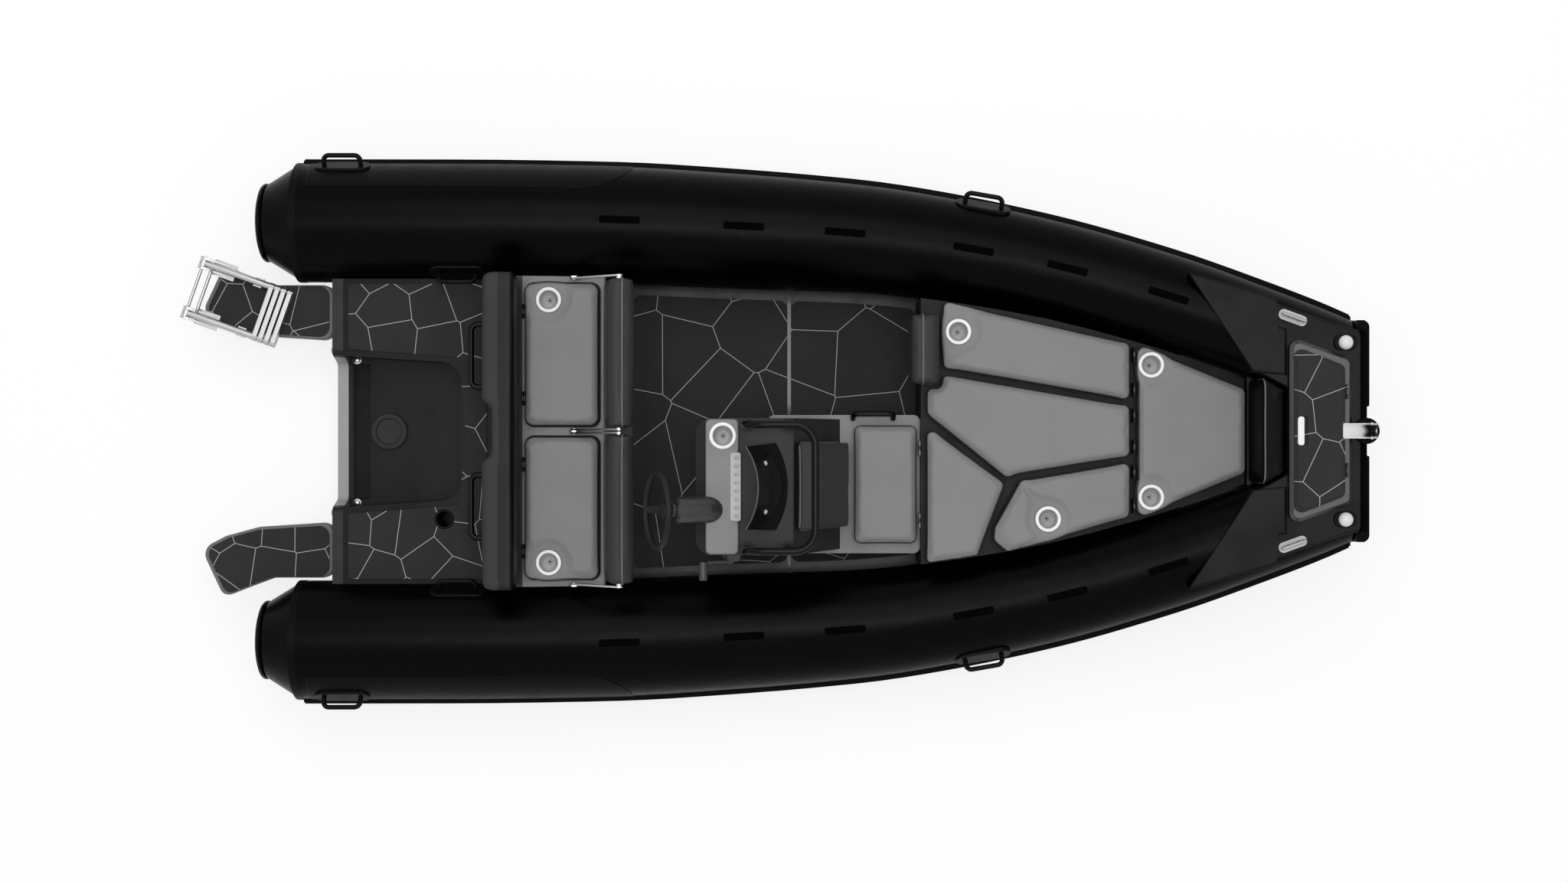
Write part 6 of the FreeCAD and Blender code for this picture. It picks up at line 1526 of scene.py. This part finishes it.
@dataclass
class Collar:
    """Seam tapes and wear panels of the two inflated tubes."""

    hull_length: float = 4.650
    spread: float = 0.972
    radius: float = 0.277
    lift: float = 0.320
    sheer: float = 0.270
    seam_at: float = -0.1488
    seam_tape: Triple = (0.0028, 0.036, 0.35)
    seam_points: int = 96
    panel: tuple[float, float] = (-0.096, 1.40)
    panel_angles: tuple[float, float] = (12.0, 58.0)
    panel_turn: float = 0.24
    panel_grid: tuple[int, int] = (150, 26)
    panel_tip: float = 0.02
    panel_lift: float = 0.0016
    panel_wall: float = 0.0014
    stations: tuple[tuple[float, float, float, float], ...] = (
        (-0.032, 1.0, 0.0, 1.0), (0.124, 0.999, 0.0, 1.0), (0.278, 0.989, 0.0, 0.996),
        (0.400, 0.961, 0.007, 0.975), (0.523, 0.924, 0.056, 0.917))

    def centre(self, x: np.ndarray) -> tuple[np.ndarray, np.ndarray, np.ndarray]:
        """Middle of the tube, straight between stations.

        Args:
            x: Places along the boat.

        Returns:
            Distance out, height and radius at each of them.
        """
        rows = np.array(self.stations)
        share = [np.interp(x / self.hull_length, rows[:, 0], rows[:, column]) for column in (1, 2, 3)]
        return self.spread * share[0], self.lift + self.sheer * share[1], self.radius * share[2]

    def seam(self, side: Side) -> None:
        """Tape round the joint between a tube and its aft cone: a flat strip carried round a circle.

        Args:
            side: The tube's side.
        """
        turn = np.linspace(0.0, math.tau, self.seam_points, endpoint=False)
        out, up, radius = self.centre(np.array([self.seam_at]))
        path = np.column_stack([np.full(turn.shape, self.seam_at), side.value * out + radius * np.cos(turn),
                                up + radius * np.sin(turn)])
        swept(f"cone_seam_{side.label}", path, strip_profile(*self.seam_tape), Facing.FORWARD, TAPE, "boat",
              True)

    def wear_panel(self, side: Side) -> None:
        """Sheet glued to the tube's outboard shoulder.

        A point is the tube's middle plus its radius times the cosine and sine of an angle, and the upper
        edge runs down to the lower one on a quarter ellipse at the forward end.

        Args:
            side: The tube's side.
        """
        start, end = self.panel
        rows, columns = self.panel_grid
        low, high = np.radians(self.panel_angles)
        x = np.linspace(start, end, rows)[:, None]
        late = np.clip((x - (end - self.panel_turn)) / self.panel_turn, 0.0, 1.0)
        top = low + (high - low) * np.maximum(np.sqrt(1.0 - late * late), self.panel_tip)
        angle = low + (top - low) * np.linspace(0.0, 1.0, columns)[None, :]
        out, up, radius = self.centre(x)
        points = np.stack([x + 0.0 * angle, side.value * (out + radius * np.cos(angle)),
                           up + radius * np.sin(angle)], -1)
        piece = finished(f"wear_panel_{side.label}", points.reshape(-1, 3),
                         grid_quads(rows, columns, False, False), TAPE, "boat")
        modified(piece, "SHRINKWRAP", target=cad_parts[f"collar_{side.label}"],
                 wrap_method="NEAREST_SURFACEPOINT", wrap_mode="ABOVE_SURFACE", offset=self.panel_lift)
        applied(piece)
        modified(piece, "SOLIDIFY", thickness=self.panel_wall, offset=-1.0)
        applied(piece)
        outward(piece.data)

    def build(self) -> None:
        """Tapes and panels of both tubes."""
        for side in Side:
            self.seam(side)
            self.wear_panel(side)
        LOG.info("collar: seam tapes and wear panels")


@dataclass
class Decks:
    """Fittings of the decks: bolts beside the motor slot, the pole socket's collar, the floor's strip."""

    bolt: Triple = (0.014, 0.009, 0.006)
    bolt_place: tuple[float, float] = (0.086, 0.336)
    socket: tuple[float, float] = (0.520, -0.406)
    socket_bore: float = 0.0352
    socket_rim: float = 0.046
    strip_place: tuple[float, float] = (2.1155, 0.1166)
    strip: Triple = (0.0184, 0.0080, 0.3)
    strip_step: float = 0.05
    strip_runs: tuple[tuple[float, float], ...] = ((0.080, 0.655), (-0.655, -0.566))

    def floor_strip(self) -> None:
        """Painted strip in the joint between the floor's two sheets, on each side of the console."""
        x, z = self.strip_place
        for index, (start, end) in enumerate(self.strip_runs):
            path = evened(np.array([(x, start, z), (x, end, z)]), self.strip_step, False)
            swept(f"floor_strip_{index + 1}", path, strip_profile(*self.strip), Facing.UP,
                  SHELL, "boat")

    def build(self) -> None:
        """Bolt heads on the well's floor, a collar in the socket and the strip."""
        self.floor_strip()
        bolts = mirrored_places(on_top("aft_deck", np.array([self.bolt_place])))
        repeated("motor_bolts", dome(*self.bolt), 24, bolts, POLISHED, "boat")
        x, y = self.socket
        top = heights("deck_pads", np.array([(x, y + self.socket_rim)]))[0]
        inner, outer = self.socket_bore, self.socket_rim
        rim = np.array([(inner, -0.03), (inner, 0.0022), (inner + 0.0014, 0.0036), (outer - 0.003, 0.0036),
                        (outer, 0.0012), (outer, -0.003), (inner + 0.002, -0.003), (inner + 0.002, -0.03)])
        repeated("pole_socket_collar", rim, 48, np.array([(x, y, top)]), GRIP_PLASTIC, "boat")
        LOG.info("decks: bolts at %.3f m, socket collar at %.3f m", bolts[0, 2], top)


@dataclass
class Console:
    """Small fittings of the helm console: domed nuts on the screen and caps on the switches."""

    nuts: tuple[float, float, float] = (2.010, -0.243, 0.103)
    nut: Triple = (0.006, 0.010, 0.004)
    switches: tuple[float, float, float] = (1.882, -0.243, 0.126)
    switch_count: int = 8
    cap: Triple = (0.0055, 0.0022, 0.0015)

    def switch_caps(self) -> None:
        """A round mark on each rocker switch, at even steps across the panel."""
        x, middle, half = self.switches
        across = np.linspace(middle - half, middle + half, self.switch_count)
        spots = on_top("switch_panel", np.column_stack([np.full(across.shape, x), across]))
        repeated("switch_caps", dome(*self.cap), 16, spots, LINER, "boat")

    def build(self) -> None:
        """Caps on the switches, and nuts that hold the screen."""
        self.switch_caps()
        x, middle, half = self.nuts
        spots = on_top("windscreen", np.array([(x, middle - half), (x, middle + half)]))
        repeated("screen_nuts", dome(*self.nut), 20, spots, POLISHED, "boat")
        LOG.info("console: screen nuts at %.3f m", spots[0, 2])


@dataclass
class Bow:
    """Side wings of the bow deck, lamp lenses and the black disc under the anchor roller."""

    lamp: tuple[float, float] = (4.578, 0.392)
    lens: float = 0.0322
    lens_seat: float = 0.8426
    disc: tuple[float, float, float] = (4.668, 0.8385, 0.058)
    wing_ends: tuple[float, float] = (3.903, 4.326)
    wing_outer: tuple[tuple[float, float], ...] = (
        (3.903, 0.706), (4.283, 0.594), (4.287, 0.464), (4.326, 0.456))
    wing_inner: tuple[tuple[float, float], ...] = ((3.903, 0.700), (4.182, 0.262), (4.326, 0.248))
    wing_plane: tuple[tuple[float, float], ...] = ((3.900, 0.7505), (4.650, 0.8455))
    wing_grip: float = 0.004
    wing_edge: float = 0.012
    wing_drop: float = 0.45
    wing_grid: tuple[int, int] = (70, 40)

    def wing(self, side: Side) -> None:
        """Plate from the deck's tip along the tube to the hatch.

        A point lies between the outer and the inner line at its X, and its height is the plane's. The
        edges drop along part of a quarter circle, and the underside follows the skin of whatever
        carries it.

        Args:
            side: The wing's side.
        """
        rows, columns = self.wing_grid
        x = np.linspace(*self.wing_ends, rows)
        outer, inner, plane = (np.interp(x, *np.array(line).T) for line in
                               (self.wing_outer, self.wing_inner, self.wing_plane))
        share = (1.0 - np.cos(np.linspace(0.0, math.pi, columns))) / 2.0
        across = outer[:, None] + (inner - outer)[:, None] * share[None, :]
        away = np.minimum(np.abs(across - outer[:, None]), np.abs(across - inner[:, None]))
        away = np.minimum(away, self.wing_ends[1] - x[:, None])
        dip = 1.0 - np.sqrt(1.0 - (1.0 - np.clip(away / self.wing_edge, 0.0, 1.0)) ** 2)
        up = plane[:, None] - dip * self.wing_edge * self.wing_drop
        top = np.stack([x[:, None] + 0.0 * across, side.value * across, up], -1)
        flat = top.reshape(-1, 3)
        skin = np.maximum(heights("bow_deck", flat), heights(f"collar_{side.label}", flat))
        under = top.copy()
        under[..., 2] = np.minimum(up, skin.reshape(up.shape)) - self.wing_grip
        slab(f"bow_wing_{side.label}", top, under, BLACK_SHELL, "boat")

    def lenses(self) -> None:
        """A white globe over each lamp: half a ball on a short skirt."""
        x, y = self.lamp
        turn = np.linspace(0.0, math.pi / 2.0, 13)
        globe = np.column_stack([self.lens * np.sin(turn), self.lens * np.cos(turn)])
        globe = np.vstack([globe, [(self.lens, -0.002), (0.0, -0.002)]])
        repeated("lamp_lenses", globe, 40, mirrored_places(np.array([(x, y, self.lens_seat)])), LENS, "boat")

    def build(self) -> None:
        """Wings, lenses and the pad under the roller."""
        for side in Side:
            self.wing(side)
        self.lenses()
        x, low, radius = self.disc
        pad = np.array([(0.0, 0.0165), (radius - 0.006, 0.0165), (radius - 0.002, 0.0145), (radius, 0.010),
                        (radius, 0.0), (0.0, 0.0)])
        repeated("roller_pad", pad, 48, np.array([(x, 0.0, low)]), BUMPER, "boat")
        LOG.info("bow: wings, lenses and roller pad")


@dataclass
class Ladder:
    """Cross tubes of the boarding ladder: its pivot tube and the one beside it."""

    pivot: Triple = (-0.640, 0.666, 0.386)
    turn: float = -19.5
    half: float = 0.1045
    sides: int = 20
    tubes: tuple[tuple[str, str, float, float], ...] = (
        ("ladder_pivot_tube", "boat", 0.0, 0.0075), ("ladder_cross_tube", "ladder_1", 0.045, 0.008))

    def build(self) -> None:
        """Each tube runs square to the rails: the pivot plus its distance along them and across them."""
        turn = math.radians(self.turn)
        along = np.array([math.cos(turn), math.sin(turn), 0.0])
        across = np.array([-math.sin(turn), math.cos(turn), 0.0])
        for name, body, ahead, radius in self.tubes:
            middle = np.array(self.pivot) + along * ahead
            path = evened(np.array([middle - across * self.half, middle + across * self.half]), 0.02, False)
            swept(name, path, round_profile(radius, self.sides), Facing.UP, LADDER_STEEL, body)
        LOG.info("ladder: %d cross tubes", len(self.tubes))


@dataclass(frozen=True)
class Lamp:
    """A soft rectangular lamp: where it hangs, where it points, its length, width and power."""

    name: str
    place: Triple
    aim: Triple
    size: tuple[float, float]
    power: float

    def build(self) -> None:
        """Hangs the lamp; its length lies along the boat."""
        light = bpy.data.lights.new(self.name, "AREA")
        light.shape, light.energy = "RECTANGLE", self.power
        light.size, light.size_y = self.size
        holder = placed(self.name, light)
        holder.location = self.place
        aim = Vector(self.aim) - Vector(self.place)
        holder.rotation_euler = aim.to_track_quat("-Z", "Y").to_euler()


@dataclass
class Stage:
    """Pale floor at the waterline, plain surroundings, a strip lamp overhead and a soft one to port."""

    half: float = 15.0
    middle: float = 2.2
    floor_grey: float = 0.92
    whiteness: float = 0.72
    glow: float = 1.06
    surroundings: float = 0.55
    patches: float = 0.4
    drift: float = 1.02
    rough: float = 0.9
    gloss: float = 0.1
    lamps: tuple[Lamp, ...] = (
        Lamp("strip_lamp", (2.1, 0.05, 12.2), (2.1, 0.05, 0.0), (8.0, 2.8), 400.0),
        Lamp("side_lamp", (1.6, 5.2, 11.2), (2.2, 0.0, 0.3), (6.0, 6.0), 270.0))

    def floor(self) -> None:
        """A flat square at the height of the water."""
        corners = np.array([(-1, -1, 0), (1, -1, 0), (1, 1, 0), (-1, 1, 0)]) * self.half
        mesh = bpy.data.meshes.new("floor")
        mesh.from_pydata((corners + (self.middle, 0.0, 0.0)).tolist(), [], [(0, 1, 2, 3)])
        piece = placed("floor", mesh)
        shader = Shader("floor_pale")
        low, high = ((level,) * 3 + (1.0,) for level in (self.floor_grey, self.floor_grey * self.drift))
        grey = shader.blend(shader.noise(self.patches), low, high)
        mesh.materials.append(shader.done(Base_Color=grey, Roughness=self.rough,
                                          Specular_IOR_Level=self.gloss))
        white = shader.node("ShaderNodeEmission", {}, {"Color": WHITE, "Strength": self.glow})
        shader.shared(shader.plain_rays() * self.whiteness, Wire(shader, shader.skin.outputs[0]),
                      Wire(shader, white.outputs[0]), "Material Output")

    def surround(self) -> None:
        """World light of one strength, seen as white by the camera and by gloss and glass."""
        world = bpy.data.worlds.new("surroundings")
        bpy.context.scene.world = world
        world.use_nodes = True
        net = Net(world.node_tree)
        light, white = (net.node("ShaderNodeBackground", {}, {"Color": WHITE, "Strength": strength})
                        for strength in (self.surroundings, 1.0))
        net.shared(net.plain_rays(), Wire(net, light.outputs[0]), Wire(net, white.outputs[0]), "World Output")

    def build(self) -> None:
        """Floor, surroundings and lamps, with colours shown as written."""
        self.floor()
        self.surround()
        for lamp in self.lamps:
            lamp.build()
        bpy.context.scene.view_settings.view_transform = "Standard"
        LOG.info("stage: floor, surroundings and %d lamps", len(self.lamps))


@dataclass
class CameraRig:
    """Camera straight above the boat, as the photograph's."""

    place: Triple = (2.091, -0.0446, 10.48)
    lens: float = 50.0
    sensor: float = 36.0
    reach: float = 100.0

    def build(self) -> None:
        """Makes the camera and gives it to the scene."""
        camera = bpy.data.cameras.new("plan_camera")
        camera.lens, camera.sensor_width = self.lens, self.sensor
        camera.clip_end = self.reach
        holder = placed("plan_camera", camera)
        holder.location = self.place
        bpy.context.scene.camera = holder
        LOG.info("camera: %.2f m up, %.0f mm lens", self.place[2], self.lens)


def dress_nodes() -> None:
    """Gives every model node its finish."""
    for finish, nodes in NODE_FINISHES.items():
        for node in nodes:
            dress(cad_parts[node], finish)
    bare = set(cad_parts) - {node for nodes in NODE_FINISHES.values() for node in nodes}
    LOG.info("dressed %d nodes, bare: %s", len(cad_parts) - len(bare), sorted(bare))


def main() -> None:
    """Builds the boat's dress, its stage and its camera."""
    logging.basicConfig(level=logging.INFO, format="%(message)s")
    dress_nodes()
    for part in (Collar, Seating, DrinkHolders, Decks, Console, Bow, Ladder, Stage, CameraRig):
        part().build()


if __name__ == "__main__":
    main()
